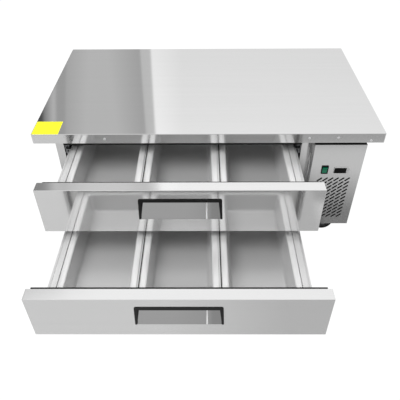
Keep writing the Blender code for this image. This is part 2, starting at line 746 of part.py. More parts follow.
def make_power_inlet():
    """The socket in the back panel that the mains lead comes into."""
    middle = (CABINET_RIGHT + MACHINE_RIGHT - SIDE_FLANGE) / 2
    z = INLET_Z
    flange = plate([rectangle(middle - INLET_WIDTH / 2, z - INLET_HEIGHT / 2,
                              middle + INLET_WIDTH / 2, z + INLET_HEIGHT / 2),
                    rectangle(middle - INLET_HOLE_WIDTH / 2 + SHEET, z - INLET_HOLE_HEIGHT / 2 + SHEET,
                              middle + INLET_HOLE_WIDTH / 2 - SHEET, z + INLET_HOLE_HEIGHT / 2 - SHEET)],
                   INLET_PROUD - GAP,
                   at(0, CABINET_BACK_Y + GAP + (INLET_PROUD - GAP) / 2, 0, FACING_FRONT))
    body = block((middle - INLET_WIDTH / 2 + INLET_PROUD + GAP, CABINET_BACK_Y - INLET_WIDTH / 2,
                  z - INLET_HEIGHT / 2 + INLET_PROUD + GAP),
                 (middle + INLET_WIDTH / 2 - INLET_PROUD - GAP, CABINET_BACK_Y + INLET_PROUD / 2,
                  z + INLET_HEIGHT / 2 - INLET_PROUD - GAP))
    socket = block((middle - INLET_HOLE_WIDTH / 2 + SHEET, CABINET_BACK_Y - INLET_WIDTH / 4,
                    z - INLET_HOLE_HEIGHT / 2 + SHEET),
                   (middle + INLET_HOLE_WIDTH / 2 - SHEET, CABINET_BACK_Y + INLET_PROUD + OVERRUN,
                    z + INLET_HOLE_HEIGHT / 2 - SHEET))
    solid("power_inlet", cut(fused(flange, body), socket), BLACK_PLASTIC)


def make_switch():
    z = HEIGHT - SWITCH_BELOW_TOP
    half_w, half_h = SWITCH_WIDTH / 2, SWITCH_HEIGHT / 2
    front = TOP_FRONT_Y - GAP
    wall = SWITCH_FLANGE
    bezel = plate([rounded_rectangle(half_w, half_h, wall / 2),
                   rectangle(-half_w + wall, -half_h + wall, half_w - wall, half_h - wall)],
                  SWITCH_PROUD, at(SWITCH_X, front - SWITCH_PROUD / 2, z, FACING_FRONT))
    sleeve_w, sleeve_h = half_w - wall, half_h - wall
    sleeve = plate([rectangle(-sleeve_w, -sleeve_h, sleeve_w, sleeve_h),
                    rectangle(-sleeve_w + SHEET, -sleeve_h + SHEET, sleeve_w - SHEET, sleeve_h - SHEET)],
                   SWITCH_DEPTH, at(SWITCH_X, front + SWITCH_DEPTH / 2 - SHEET, z, FACING_FRONT))
    back = block((SWITCH_X - sleeve_w, front + SWITCH_DEPTH - 2 * SHEET, z - sleeve_h),
                 (SWITCH_X + sleeve_w, front + SWITCH_DEPTH, z + sleeve_h))
    solid("switch_bezel", fused(bezel, sleeve, back), BLACK_PLASTIC)
    make_rocker(sleeve_w - SHEET - GAP, sleeve_h - SHEET, z)


def rocker_pivot_y():
    return TOP_FRONT_Y + ROCKER_DEEP


def make_rocker(half_w, opening_half_h, z):
    """The rocker, tipped to its on side: two flat wings that meet at a shallow angle, on a round pivot."""
    front = ROCKER_DEEP + SWITCH_PROUD / 2
    reach = (opening_half_h - GAP - front * math.sin(ROCKER_SWING)) * math.cos(ROCKER_SWING)
    rise = reach * math.tan(ROCKER_SWING)
    outline = [(-front, 0), (-front - rise, reach), (-ROCKER_BACK, reach - SWITCH_PROUD),
               (ROCKER_BACK, ROCKER_BACK), (ROCKER_BACK, -ROCKER_BACK),
               (-ROCKER_BACK, SWITCH_PROUD - reach), (-front - rise, -reach)]
    wedge = plate([outline], 2 * half_w, ALONG_X)
    pivot = hub("switch_pivot", at(SWITCH_X, rocker_pivot_y(), z, Matrix.Rotation(ROCKER_SWING, 4, "X")))
    carried("switch_rocker", wedge, GREEN_PLASTIC, pivot)


def make_controller():
    z = HEIGHT - CONTROL_BELOW_TOP
    half_w, half_h = CONTROL_WIDTH / 2, CONTROL_HEIGHT / 2
    front = TOP_FRONT_Y - GAP
    face = block((CONTROL_X - half_w, front - CONTROL_PROUD, z - half_h),
                 (CONTROL_X + half_w, front, z + half_h))
    body = block((CONTROL_X - half_w + CONTROL_FLANGE, front - JOIN, z - half_h + CONTROL_FLANGE),
                 (CONTROL_X + half_w - CONTROL_FLANGE, front + CONTROL_DEPTH, z + half_h - CONTROL_FLANGE))
    left = CONTROL_X - half_w + CONTROL_FLANGE
    window = block((left, front - CONTROL_PROUD - OVERRUN, z - WINDOW_HEIGHT / 2),
                   (left + WINDOW_WIDTH, front - CONTROL_PROUD + WINDOW_SINK, z + WINDOW_HEIGHT / 2))
    button_x = (left + WINDOW_WIDTH + CONTROL_X + half_w) / 2
    wells = []
    for name, side in (("up", 1), ("down", -1)):
        middle = Vector((button_x, front - CONTROL_PROUD, z + side * BUTTON_PITCH / 2))
        half = Vector((BUTTON_WIDTH / 2, 0, BUTTON_HEIGHT / 2))
        proud, sunk = Vector((0, BUTTON_PROUD, 0)), Vector((0, BUTTON_DEPTH - BUTTON_PROUD, 0))
        room = Vector((GAP, 0, GAP))
        wells.append(block(middle - half - room - Vector((0, OVERRUN, 0)),
                           middle + half + room + sunk + Vector((0, BUTTON_TRAVEL + GAP, 0))))
        cap = hub(f"{name}_button_place", at(*middle))
        carried(f"controller_button_{name}", block(-half - proud, half + sunk), GREY_PLASTIC, cap)
    solid("controller_bezel", cut(fused(face, body), window, *wells), GREY_PLASTIC)


def comb(width, depth, height, fins):
    """A spine with fins on both of its sides: its plan as cells that share their corners, drawn upwards."""
    pitch = (width - FIN_THICK) / (fins - 1)
    rows = (-depth / 2, -COIL_SPINE / 2, COIL_SPINE / 2, depth / 2)
    bm = bmesh.new()
    columns = []
    for index in range(fins):
        left = index * pitch - width / 2
        columns += [[bm.verts.new((u, v, 0)) for v in rows] for u in (left, left + FIN_THICK)]
    for index, (near, far) in enumerate(zip(columns, columns[1:], strict=False)):
        cells = (0, 1, 2) if index % 2 == 0 else (1,)
        for cell in cells:
            bm.faces.new((near[cell], far[cell], far[cell + 1], near[cell + 1]))
    obj = solid("comb", mesh_from(bm, "comb"))
    wall = obj.modifiers.new("wall", "SOLIDIFY")
    wall.thickness = height
    wall.offset = 0
    return settled(obj)


def coil_mesh(centre, width, depth, height, fins, foot_z):
    """A finned coil with an end plate on each side, standing on its end plates' feet."""
    x, y, bottom = centre
    pieces = []
    for side in (-1, 1):
        inner = x + side * (width / 2 - FIN_THICK / 2)
        outer = inner + side * COIL_END
        pieces.append(block((min(inner, outer), y - depth / 2 - JOIN, foot_z),
                            (max(inner, outer), y + depth / 2 + JOIN, bottom + height + JOIN)))
    middle = moved(comb(width, depth, height, fins), at(x, y, bottom + height / 2))
    return fused(middle, *pieces)


def condenser_y():
    return FACE_Y + COIL_SETBACK + COIL_DEPTH / 2


def make_condenser():
    foot = BODY_BOTTOM + BASE_THICK + GAP
    centre = (COIL_CENTRE_X, condenser_y(), COIL_BOTTOM)
    solid("condenser", coil_mesh(centre, COIL_WIDTH, COIL_DEPTH, COIL_HEIGHT, COIL_FINS, foot), BLACK_PAINT)


def blade_mesh():
    """One fan blade along +X: a sheet that widens, flattens and bows towards its tip, with a wall of one thickness."""
    bm = bmesh.new()
    bmesh.ops.create_grid(bm, x_segments=BLADE_STEPS, y_segments=CHORD_STEPS, size=1)
    root = FAN_HUB - FAN_BLADE
    for vert in bm.verts:
        out_share = (vert.co.x + 1) / 2
        across = vert.co.y * FAN_CHORD / 2 * (1 + out_share) / 2
        bow = FAN_CAMBER * out_share * (1 - vert.co.y ** 2)
        radius = root + (FAN_RADIUS - FAN_BLADE - root) * out_share
        angle = FAN_PITCH + FAN_TWIST * out_share
        vert.co = Vector((math.sqrt(radius * radius - (across * out_share) ** 2),
                          across * math.cos(angle) - bow * math.sin(angle),
                          across * math.sin(angle) + bow * math.cos(angle)))
    bmesh.ops.triangulate(bm, faces=bm.faces[:])
    obj = solid("blade", mesh_from(bm, "blade"))
    wall = obj.modifiers.new("wall", "SOLIDIFY")
    wall.thickness = FAN_BLADE
    wall.offset = 0
    return settled(obj)


def fan_mesh():
    """A hub with pitched blades, turning about +Y, centred on its hub."""
    ring = [(FAN_BORE, -FAN_HUB_LENGTH / 2), (FAN_HUB, -FAN_HUB_LENGTH / 2), (FAN_HUB, FAN_HUB_LENGTH / 2),
            (FAN_BORE, FAN_HUB_LENGTH / 2)]
    blades = [moved(blade_mesh(), Matrix.Rotation(2 * math.pi * index / FAN_BLADES, 4, "Z"))
              for index in range(FAN_BLADES)]
    whole = fused(turned(ring, ROUND_STEPS, Matrix.Identity(4), closed=True), *blades)
    return moved(whole, Matrix.Rotation(-math.pi / 2, 4, "X"))


def motor_mesh(arm_reach, hub_y, motor_y, ring_y):
    """A motor can with its shaft to the front and arms out to what carries it, on the axis X = Z = 0."""
    can = rod((0, motor_y, 0), (0, motor_y + MOTOR_LENGTH, 0), MOTOR_RADIUS, ROUND_STEPS)
    shaft = rod((0, hub_y - FAN_HUB_LENGTH / 2 - JOIN, 0), (0, motor_y + JOIN, 0), SHAFT_RADIUS)
    arms = []
    for index in range(MOTOR_ARMS):
        arm = block((MOTOR_RADIUS - ARM_THICK, ring_y, -ARM_WIDTH / 2),
                    (arm_reach, ring_y + ARM_THICK, ARM_WIDTH / 2))
        arms.append(moved(arm, Matrix.Rotation(2 * math.pi * index / MOTOR_ARMS + math.pi / 2, 4, "Y")))
    return can, [shaft, *arms]


def condenser_fan_place():
    """The middle of the condenser fan's hub."""
    back_of_coil = condenser_y() + COIL_DEPTH / 2
    return Vector((COIL_CENTRE_X, back_of_coil + SHROUD_GAP + SHROUD_RING / 2,
                   COIL_BOTTOM + COIL_HEIGHT / 2))


def make_condenser_fan():
    centre = condenser_fan_place()
    opening = FAN_RADIUS + FAN_TIP_GAP
    front = -SHROUD_RING / 2
    foot = BODY_BOTTOM + BASE_THICK + GAP - centre.z
    board = plate([rectangle(-COIL_WIDTH / 2, foot, COIL_WIDTH / 2, COIL_HEIGHT / 2),
                   circle(0, 0, opening, ROUND_STEPS)], SHROUD_SHEET,
                  at(0, front + SHROUD_SHEET / 2, 0, FACING_FRONT))
    ring = plate([circle(0, 0, opening + SHROUD_SHEET, ROUND_STEPS), circle(0, 0, opening, ROUND_STEPS)],
                 SHROUD_RING - JOIN, at(0, JOIN / 2, 0, FACING_FRONT))
    ring_y = SHROUD_RING / 2 - ARM_THICK
    can, rest = motor_mesh(opening + SHROUD_SHEET / 2, 0, SHROUD_RING / 2 - JOIN, ring_y)
    mesh = fused(board, ring, can, *rest)
    mesh.transform(Matrix.Translation(centre))
    solid("condenser_fan_shroud", mesh, BLACK_PAINT)
    carried("condenser_fan", fan_mesh(), BLACK_PLASTIC, hub("condenser_fan_axis", at(*centre)))


def make_compressor():
    """A hermetic dome on a foot plate with four grommets, a terminal cover and three pipe stubs."""
    base = BODY_BOTTOM + BASE_THICK + GAP
    y = FACE_Y + COMPRESSOR_SETBACK
    low = base + COMPRESSOR_LIFT
    dome = [(0, COMPRESSOR_HEIGHT)]
    cap = COMPRESSOR_RADIUS / 2
    angles = [math.pi / 2 * step / DOME_STEPS for step in range(1, DOME_STEPS + 1)]
    for angle in angles:
        dome.append((COMPRESSOR_RADIUS * math.sin(angle), COMPRESSOR_HEIGHT - cap + cap * math.cos(angle)))
    for angle in angles[:-1]:
        dome.append((COMPRESSOR_RADIUS * math.cos(angle), cap / 2 - cap / 2 * math.sin(angle)))
    dome.append((0, 0))
    can = turned(dome, ROUND_STEPS, at(COMPRESSOR_X, y, low))
    half = COMPRESSOR_FOOT_HALF
    pieces = [block((COMPRESSOR_X - half, y - half, low - COMPRESSOR_FOOT / 2),
                    (COMPRESSOR_X + half, y + half, low + COMPRESSOR_FOOT / 2))]
    for side_x in (-1, 1):
        for side_y in (-1, 1):
            x_foot = COMPRESSOR_X + side_x * (half - GROMMET_INSET)
            y_foot = y + side_y * (half - GROMMET_INSET)
            pieces.append(rod((x_foot, y_foot, base), (x_foot, y_foot, low + COMPRESSOR_FOOT),
                              GROMMET_RADIUS))
    middle = low + COMPRESSOR_HEIGHT / 2
    cover_front = y - COMPRESSOR_RADIUS - TERMINAL / 3
    pieces.append(block((COMPRESSOR_X - TERMINAL / 2, cover_front, middle - TERMINAL / 2),
                        (COMPRESSOR_X + TERMINAL / 2, y, middle + TERMINAL / 2)))
    for turn in (-1, 0, 1):
        pipe_x = COMPRESSOR_X + turn * COMPRESSOR_RADIUS / 2
        pipe_z = middle + TERMINAL / 2
        pipe_end = y + COMPRESSOR_RADIUS + TERMINAL / 2
        pieces.append(rod((pipe_x, y, pipe_z), (pipe_x, pipe_end, pipe_z), PIPE_RADIUS))
    solid("compressor", fused(can, *pieces), BLACK_PAINT, SMOOTH)


def make_control_box():
    """The steel box behind the switch and the controller, open to the front, on the side panel."""
    right = MACHINE_RIGHT - SHEET - GAP
    half_u = (right - BOX_LEFT) / 2
    top = PANEL_TOP - BOX_BELOW_TOP
    back = TOP_FRONT_Y + BOX_SETBACK + BOX_DEPTH + FACE_SETBACK / 2
    place = at(BOX_LEFT + half_u, back, top, Matrix.Rotation(math.pi / 2, 4, "X"))
    mesh = tray(half_u, BOX_HEIGHT / 2, SHELL_CORNER, [*edge_bend(PANEL_EDGE), (0, BOX_DEPTH)], SHEET, place)
    solid("control_box", mesh, GALVANISED)


def evaporator_bottom():
    return CAVITY_TOP - EVAPORATOR_BELOW_TOP - EVAPORATOR_HEIGHT


def make_evaporator():
    y = CAVITY_BACK_Y - GAP - EVAPORATOR_DEPTH / 2 - JOIN
    bottom = evaporator_bottom()
    centre = (CABINET_CENTRE_X, y, bottom)
    mesh = coil_mesh(centre, EVAPORATOR_WIDTH, EVAPORATOR_DEPTH, EVAPORATOR_HEIGHT, EVAPORATOR_FINS,
                     bottom - JOIN)
    solid("evaporator_coil", mesh, ALUMINIUM)


def evaporator_fan_place():
    """The middle of the evaporator fan's hub."""
    return Vector((CABINET_CENTRE_X, CAVITY_BACK_Y - GAP - COVER_DEPTH + SHEET + FAN_HUB_LENGTH / 2 + GAP,
                   evaporator_bottom() + EVAPORATOR_HEIGHT / 2))


def make_evaporator_cover():
    """The folded cover in front of the coil, with the fan's opening and a plate that holds the motor."""
    half_u = EVAPORATOR_WIDTH / 2 + COVER_MARGIN
    half_v = EVAPORATOR_HEIGHT / 2 + COVER_MARGIN
    centre = evaporator_fan_place()
    place = at(CABINET_CENTRE_X, CAVITY_BACK_Y - GAP - COVER_DEPTH, centre.z, FACING_FRONT)
    profile = [*edge_bend(COVER_CORNER), (0, COVER_DEPTH)]
    shell = tray(half_u, half_v, COVER_CORNER, profile, SHEET, place)
    opening = FAN_RADIUS + FAN_TIP_GAP
    front = CAVITY_BACK_Y - GAP - COVER_DEPTH
    hole = rod((centre.x, front - OVERRUN, centre.z), (centre.x, front + FAN_HUB_LENGTH, centre.z), opening,
               ROUND_STEPS)
    shell = cut(shell, hole)
    motor_y = front + SHEET + FAN_HUB_LENGTH + 2 * GAP
    can = rod((centre.x, motor_y, centre.z), (centre.x, motor_y + ARM_WIDTH, centre.z), MOTOR_RADIUS,
              ROUND_STEPS)
    shaft = rod((centre.x, front + SHEET, centre.z), (centre.x, motor_y + JOIN, centre.z), SHAFT_RADIUS)
    bar = block((centre.x - opening - ARM_WIDTH, motor_y + ARM_THICK, centre.z - ARM_WIDTH / 2),
                (centre.x + opening + ARM_WIDTH, motor_y + 2 * ARM_THICK, centre.z + ARM_WIDTH / 2))
    posts = [block((centre.x + side * (opening + ARM_WIDTH / 2) - ARM_WIDTH / 2, front + SHEET / 2,
                    centre.z - ARM_WIDTH / 2),
                   (centre.x + side * (opening + ARM_WIDTH / 2) + ARM_WIDTH / 2 - JOIN,
                    motor_y + 2 * ARM_THICK - JOIN, centre.z + ARM_WIDTH / 2 - JOIN)) for side in (-1, 1)]
    solid("evaporator_cover", fused(shell, bar, can, shaft, *posts), GALVANISED)


def make_evaporator_fan():
    axis = hub("evaporator_fan_axis", at(*evaporator_fan_place()))
    carried("evaporator_fan", fan_mesh(), BLACK_PLASTIC, axis)


def pocket_outline(grow, front):
    """The handle pocket seen from the side, as (depth, height) points, grown on its hidden sides."""
    return [(front, HANDLE_BOTTOM - grow), (grow, HANDLE_BOTTOM - grow),
            (SCOOP_DEPTH + grow, HANDLE_TOP - SCOOP_HOLLOW - BAR_HEIGHT),
            (SCOOP_DEPTH + grow, HANDLE_TOP - SHEET + grow), (front, HANDLE_TOP - SHEET + grow)]


def pocket_prism(grow, front):
    return plate([pocket_outline(grow, front)], 2 * (POCKET_HALF + grow), ALONG_X)


def make_front_skin():
    place = at(0, 0, FRONT_HEIGHT / 2, FACING_FRONT)
    profile = [*edge_bend(FRONT_EDGE), (0, FRONT_THICK), (FRONT_LIP, FRONT_THICK)]
    skin = tray(FRONT_WIDTH / 2, FRONT_HEIGHT / 2, FRONT_CORNER, profile, SHEET, place)
    return cut(skin, pocket_prism(SCOOP_SHEET + GAP, -OVERRUN))


def make_inner_panel():
    """The foamed block that fills the folded skin, stepped in behind the skin's back lips."""
    place = at(0, 0, FRONT_HEIGHT / 2, FACING_FRONT)
    near, lip = SHEET + GAP, FRONT_LIP + GAP
    step_y = FRONT_THICK - SHEET - GAP
    profile = [(near + FRONT_EDGE, near), (near, near + FRONT_EDGE), (near, step_y), (lip, step_y),
               (lip, FRONT_THICK)]
    bm = drawn_rings(FRONT_WIDTH / 2, FRONT_HEIGHT / 2, FRONT_CORNER, profile, place, 1, capped=True)
    return cut(mesh_from(bm, "inner_panel"), pocket_prism(SCOOP_SHEET + 2 * GAP, -OVERRUN))


def make_gasket():
    half_u = FRONT_WIDTH / 2 - GASKET_INSET_X
    half_v = FRONT_HEIGHT / 2 - GASKET_INSET_Z
    loops = [rounded_rectangle(half_u, half_v, GASKET_WIDTH / 2),
             rectangle(-half_u + GASKET_WIDTH, -half_v + GASKET_WIDTH, half_u - GASKET_WIDTH,
                       half_v - GASKET_WIDTH)]
    place = at(0, FRONT_THICK + GAP + (GASKET_THICK - GAP) / 2, FRONT_HEIGHT / 2, FACING_FRONT)
    return plate(loops, GASKET_THICK - GAP, place)


def make_scoop():
    """The steel pocket behind the grip, open to the front."""
    return cut(pocket_prism(SCOOP_SHEET, 0), pocket_prism(0, -OVERRUN))


def make_handle_bezel():
    """The moulded trim: a top bar with a grip lip behind it, and two tapering legs with cheeks behind."""
    half = HANDLE_WIDTH / 2
    top_half = half - HANDLE_FLARE
    corner = [(top_half - HANDLE_CORNER + HANDLE_CORNER * math.cos(math.pi / 2 * i / ARC_STEPS),
               HANDLE_TOP - HANDLE_CORNER + HANDLE_CORNER * math.sin(math.pi / 2 * i / ARC_STEPS))
              for i in range(ARC_STEPS + 1)]
    right = [(half, HANDLE_BOTTOM), *corner]
    left = [(-u, v) for u, v in reversed(right)]
    inner_top = top_half - LEG_WIDTH_TOP
    under = [(-half + LEG_WIDTH, HANDLE_BOTTOM), (-inner_top, HANDLE_TOP - BAR_HEIGHT),
             (inner_top, HANDLE_TOP - BAR_HEIGHT), (half - LEG_WIDTH, HANDLE_BOTTOM)]
    rim_thick = HANDLE_PROUD - GAP
    rim = plate([right + left + under], rim_thick, at(0, -GAP - rim_thick / 2, 0, FACING_FRONT))
    inner = POCKET_HALF - GAP
    back_y = -HANDLE_PROUD / 2
    grip = block((-inner, back_y, HANDLE_TOP - BAR_HEIGHT + JOIN),
                 (inner, GRIP_DEPTH, HANDLE_TOP - BAR_HEIGHT + GRIP_THICK))
    pieces = [grip]
    deep = SCOOP_DEPTH - 2 * GAP
    cheek_top = HANDLE_TOP - BAR_HEIGHT + GRIP_THICK + JOIN
    outline = [(back_y, HANDLE_BOTTOM + CHEEK_INSET),
               (deep, HANDLE_TOP - SCOOP_HOLLOW - BAR_HEIGHT + CHEEK_INSET), (deep, cheek_top), (back_y, cheek_top)]
    for side in (-1, 1):
        middle = side * (inner - CHEEK / 2)
        pieces.append(plate([outline], CHEEK, at(middle, 0, 0, ALONG_X)))
    return fused(rim, *pieces)


def rail_outline(side):
    """A side rail of the pan carrier, as (x, z) points: ledge, riser, flat top with a hem, web and return."""
    web, low = RAIL_HALF - RAIL_SHEET, LEDGE_Z - RAIL_DEPTH
    hem = RAIL_HALF - 2 * RAIL_SHEET
    points = [(LEDGE_INNER, LEDGE_Z), (RAIL_STEP, LEDGE_Z), (RAIL_STEP, RIM_Z), (hem, RIM_Z),
              (hem, RIM_Z + RAIL_HEM), (RAIL_HALF, RIM_Z + RAIL_HEM), (RAIL_HALF, low),
              (RAIL_HALF - RAIL_RETURN, low), (RAIL_HALF - RAIL_RETURN, low + RAIL_SHEET),
              (web, low + RAIL_SHEET), (web, RIM_Z - RAIL_SHEET), (RAIL_STEP + RAIL_SHEET, RIM_Z - RAIL_SHEET),
              (RAIL_STEP + RAIL_SHEET, LEDGE_Z - RAIL_SHEET), (LEDGE_INNER, LEDGE_Z - RAIL_SHEET)]
    return [(side * u, v) for u, v in points]


def channel(outer, inner, half_height, side):
    """A C section that opens inwards, as (x, z) points about the slide's own height."""
    low, high = SLIDE_Z - half_height, SLIDE_Z + half_height
    points = [(outer, low), (outer, high), (inner, high), (inner, high - SLIDE_SHEET),
              (outer - SLIDE_SHEET, high - SLIDE_SHEET), (outer - SLIDE_SHEET, low + SLIDE_SHEET),
              (inner, low + SLIDE_SHEET), (inner, low)]
    return [(side * u, v) for u, v in points]


def member_half_heights():
    """Half heights of the fixed, middle and running members, each nested in the one before."""
    step = SLIDE_SHEET + GAP
    return OUTER_HALF_HEIGHT, OUTER_HALF_HEIGHT - step, OUTER_HALF_HEIGHT - 2 * step


def running_member(side):
    """The drawer's own slide member, a C section that opens outwards."""
    inner = RUNNER_OUTER - RUNNER_WIDTH
    half_height = member_half_heights()[2]
    mirrored = channel(-inner, -RUNNER_OUTER, half_height, -side)
    return along_drawer(mirrored, CARRIER_FRONT, CARRIER_FRONT + SLIDE_LENGTH)


def along_drawer(outline, front, back):
    return plate([outline], back - front, at(0, (front + back) / 2, 0, FACING_FRONT))


def make_carrier():
    """The drawer's frame: side rails, cross rails, two divider bars and the running slide members."""
    rails = [along_drawer(rail_outline(side), CARRIER_FRONT, CARRIER_BACK) for _, side in SIDES]
    reach = RAIL_HALF - RAIL_SHEET / 2
    top = LEDGE_Z - JOIN
    front_in = CARRIER_FRONT + RAIL_SHEET
    back_in = CARRIER_FRONT + 2 * PAN_SETBACK + PAN_LENGTH
    low = LEDGE_Z - CROSS_DEPTH
    pieces = [rails[1],
              block((-reach, CARRIER_FRONT + JOIN, low), (reach, front_in, RIM_Z - JOIN)),
              block((-reach, front_in - JOIN, top - RAIL_SHEET), (reach, front_in + CROSS_LEDGE, top)),
              block((-reach, back_in, low), (reach, back_in + RAIL_SHEET, RIM_Z - JOIN)),
              block((-reach, back_in - CROSS_LEDGE, top - RAIL_SHEET), (reach, back_in + JOIN, top))]
    for side in (-1, 1):
        x = side * BAR_X
        pieces.append(block((x - BAR_FLANGE / 2, front_in - JOIN, top - RAIL_SHEET - JOIN),
                            (x + BAR_FLANGE / 2, back_in + JOIN, top - JOIN)))
        pieces.append(block((x - BAR_WEB / 2, front_in - JOIN, LEDGE_Z - BAR_HUNG),
                            (x + BAR_WEB / 2, back_in + JOIN, RIM_Z - 2 * JOIN)))
    for _, side in SIDES:
        pieces.append(running_member(side))
        inner = side * (RAIL_HALF - RAIL_SHEET / 2)
        outer = side * (RUNNER_OUTER - RUNNER_WIDTH + SLIDE_SHEET / 2)
        for share in STANDOFF_SHARES:
            y = CARRIER_FRONT + share * SLIDE_LENGTH
            pieces.append(block((min(inner, outer), y - STANDOFF_LENGTH / 2, SLIDE_Z - STANDOFF_HEIGHT / 2),
                                (max(inner, outer), y + STANDOFF_LENGTH / 2, SLIDE_Z + STANDOFF_HEIGHT / 2)))
    return fused(rails[0], *pieces)


def make_pan():
    """One drawn steel pan about its own middle, its rim's top at zero and its lip turned down round it."""
    half_u, half_v = PAN_WIDTH / 2, PAN_LENGTH / 2
    rim = PAN_RIM
    wall_top = rim + PAN_BEND
    foot = wall_top + PAN_TAPER
    bend = arc_profile((rim, PAN_BEND), PAN_BEND, -math.pi / 2, 0, ARC_STEPS)
    corner = arc_profile((foot + PAN_FOOT, PAN_DEPTH - PAN_FOOT), PAN_FOOT, math.pi, math.pi / 2, ARC_STEPS)
    lip = arc_profile((PAN_LIP_BEND, PAN_LIP_BEND), PAN_LIP_BEND, -math.pi, -math.pi / 2, 1)
    profile = [(0, PAN_LIP), *lip, *bend, *corner]
    bm = bmesh.new()
    rings = []
    for inset, depth in reversed(profile):
        radius = PAN_RIM_CORNER if inset < rim else max(PAN_CORNER - (inset - rim) / 2, PAN_FOOT)
        outline = rounded_rectangle(half_u - inset, half_v - inset, radius)
        rings.append([Vector((u, v, -depth)) for u, v in outline])
    verts = [[bm.verts.new(point) for point in ring] for ring in rings]
    bm.faces.new(verts[0])
    for lower, upper in zip(verts, verts[1:], strict=False):
        for i in range(len(lower)):
            j = (i + 1) % len(lower)
            bm.faces.new((lower[i], lower[j], upper[j], upper[i]))
    obj = solid("pan", mesh_from(bm, "pan"))
    wall = obj.modifiers.new("wall", "SOLIDIFY")
    wall.thickness = PAN_SHEET
    wall.offset = -1
    wall.use_even_offset = True
    return settled(obj)


def make_drawers():
    skin, panel, gasket = make_front_skin(), make_inner_panel(), make_gasket()
    bezel, scoop = make_handle_bezel(), make_scoop()
    carrier, pan = make_carrier(), make_pan()
    pan_y = CARRIER_FRONT + PAN_SETBACK + PAN_LENGTH / 2
    for name, bottom, opened in zip(DRAWER_NAMES, FRONT_BOTTOMS, FRONT_OPENS, strict=True):
        place = hub(f"{name}_drawer", at(CABINET_CENTRE_X, TOP_FRONT_Y - opened, bottom))
        carried(f"{name}_front_skin", skin, STEEL, place)
        carried(f"{name}_inner_panel", panel, GREY_PLASTIC, place)
        carried(f"{name}_gasket", gasket, GASKET_RUBBER, place)
        carried(f"{name}_handle_bezel", bezel, BLACK_PLASTIC, place)
        carried(f"{name}_handle_scoop", scoop, STEEL, place)
        carried(f"{name}_pan_carrier", carrier, STEEL, place)
        for index in range(PAN_COUNT):
            x = (index - (PAN_COUNT - 1) / 2) * PAN_PITCH
            copy = carried(f"{name}_pan_{index + 1}", pan, PAN_STEEL, place, SMOOTH)
            copy.location = (x, pan_y, RIM_Z)


def make_slides():
    """The fixed members on the cavity's walls, and the middle members half as far out as their drawer."""
    fixed_half, middle_half, _ = member_half_heights()
    fixed_outer = CAVITY_HALF - GAP
    front = SHELL_FRONT_Y - TOP_FRONT_Y + SLIDE_SETBACK
    back = front + SLIDE_LENGTH
    for name, bottom, opened in zip(DRAWER_NAMES, FRONT_BOTTOMS, FRONT_OPENS, strict=True):
        still = hub(f"{name}_slide_place", at(CABINET_CENTRE_X, TOP_FRONT_Y, bottom))
        moving = hub(f"{name}_slide_travel", at(CABINET_CENTRE_X, TOP_FRONT_Y - opened / 2, bottom))
        for side_name, side in SIDES:
            fixed = channel(fixed_outer, fixed_outer - OUTER_REACH, fixed_half, side)
            middle = channel(MIDDLE_OUTER, MIDDLE_INNER, middle_half, side)
            carried(f"{name}_slide_fixed_{side_name}", along_drawer(fixed, front, back), ZINC, still)
            carried(f"{name}_slide_middle_{side_name}", along_drawer(middle, back - MIDDLE_LENGTH, back),
                    ZINC, moving)


def wheel_mesh():
    """A caster wheel turned about Y: tyre with a crowned tread, web and hub with its bore."""
    half = CASTER_WIDTH / 2
    crown = CASTER_TREAD / 4
    web = CASTER_WIDTH / 6
    rim = CASTER_RADIUS - CASTER_TREAD
    profile = [(CASTER_BORE, half), (CASTER_HUB, half), (CASTER_HUB, web), (rim, web), (rim, half - crown),
               (CASTER_RADIUS - crown, half - crown), (CASTER_RADIUS, half / 2), (CASTER_RADIUS, -half / 2),
               (CASTER_RADIUS - crown, crown - half), (rim, crown - half), (rim, -web), (CASTER_HUB, -web),
               (CASTER_HUB, -half), (CASTER_BORE, -half)]
    return turned(profile, WHEEL_STEPS, Matrix.Rotation(math.pi / 2, 4, "X"), closed=True)


def fork_mesh():
    """A caster fork about its kingpin, trailing along +X: race, top plate, two legs and the axle."""
    plate_bottom = BODY_BOTTOM - PLATE_THICK
    race_top = plate_bottom - GAP
    race_bottom = race_top - RACE_THICK
    top_low = race_bottom - FORK_THICK
    bore = KINGPIN_RADIUS + 2 * GAP
    race = turned([(bore, race_bottom - JOIN), (RACE_RADIUS, race_bottom - JOIN), (RACE_RADIUS, race_top),
                   (bore, race_top)], SMALL_STEPS, Matrix.Identity(4), closed=True)
    half = CASTER_WIDTH / 2 + FORK_CLEAR + FORK_LEG
    length = FORK_TOP_LENGTH
    top = plate([rectangle(-RACE_RADIUS, -half, length - RACE_RADIUS, half), circle(0, 0, bore, SMALL_STEPS)],
                FORK_THICK, at(0, 0, race_bottom - FORK_THICK / 2))
    pieces = [top]
    for side in (-1, 1):
        inner = side * (half - FORK_LEG)
        axle_u, axle_v = CASTER_TRAIL, CASTER_RADIUS
        wide = FORK_LEG_WIDTH / 2
        near, far = -RACE_RADIUS + FORK_THICK, length - RACE_RADIUS - JOIN
        outline = [(near, top_low + JOIN), (axle_u - wide, axle_v), (axle_u - wide / 2, axle_v - wide),
                   (axle_u + wide / 2, axle_v - wide), (axle_u + wide, axle_v), (far, top_low + JOIN),
                   (far, top_low + FORK_THICK / 2), (near, top_low + FORK_THICK / 2)]
        place = at(0, inner + side * FORK_LEG / 2, 0, Matrix.Rotation(math.pi / 2, 4, "X"))
        pieces.append(plate([outline], FORK_LEG - JOIN, place))
    for x, z, radius in ((CASTER_TRAIL, CASTER_RADIUS, AXLE_RADIUS),
                         (PEDAL_PIN_X, top_low - PEDAL_PIN_BELOW, PEDAL_PIN)):
        pieces.append(rod((x, -half - FORK_LEG, z), (x, half + FORK_LEG, z), radius))
    return fused(race, *pieces)


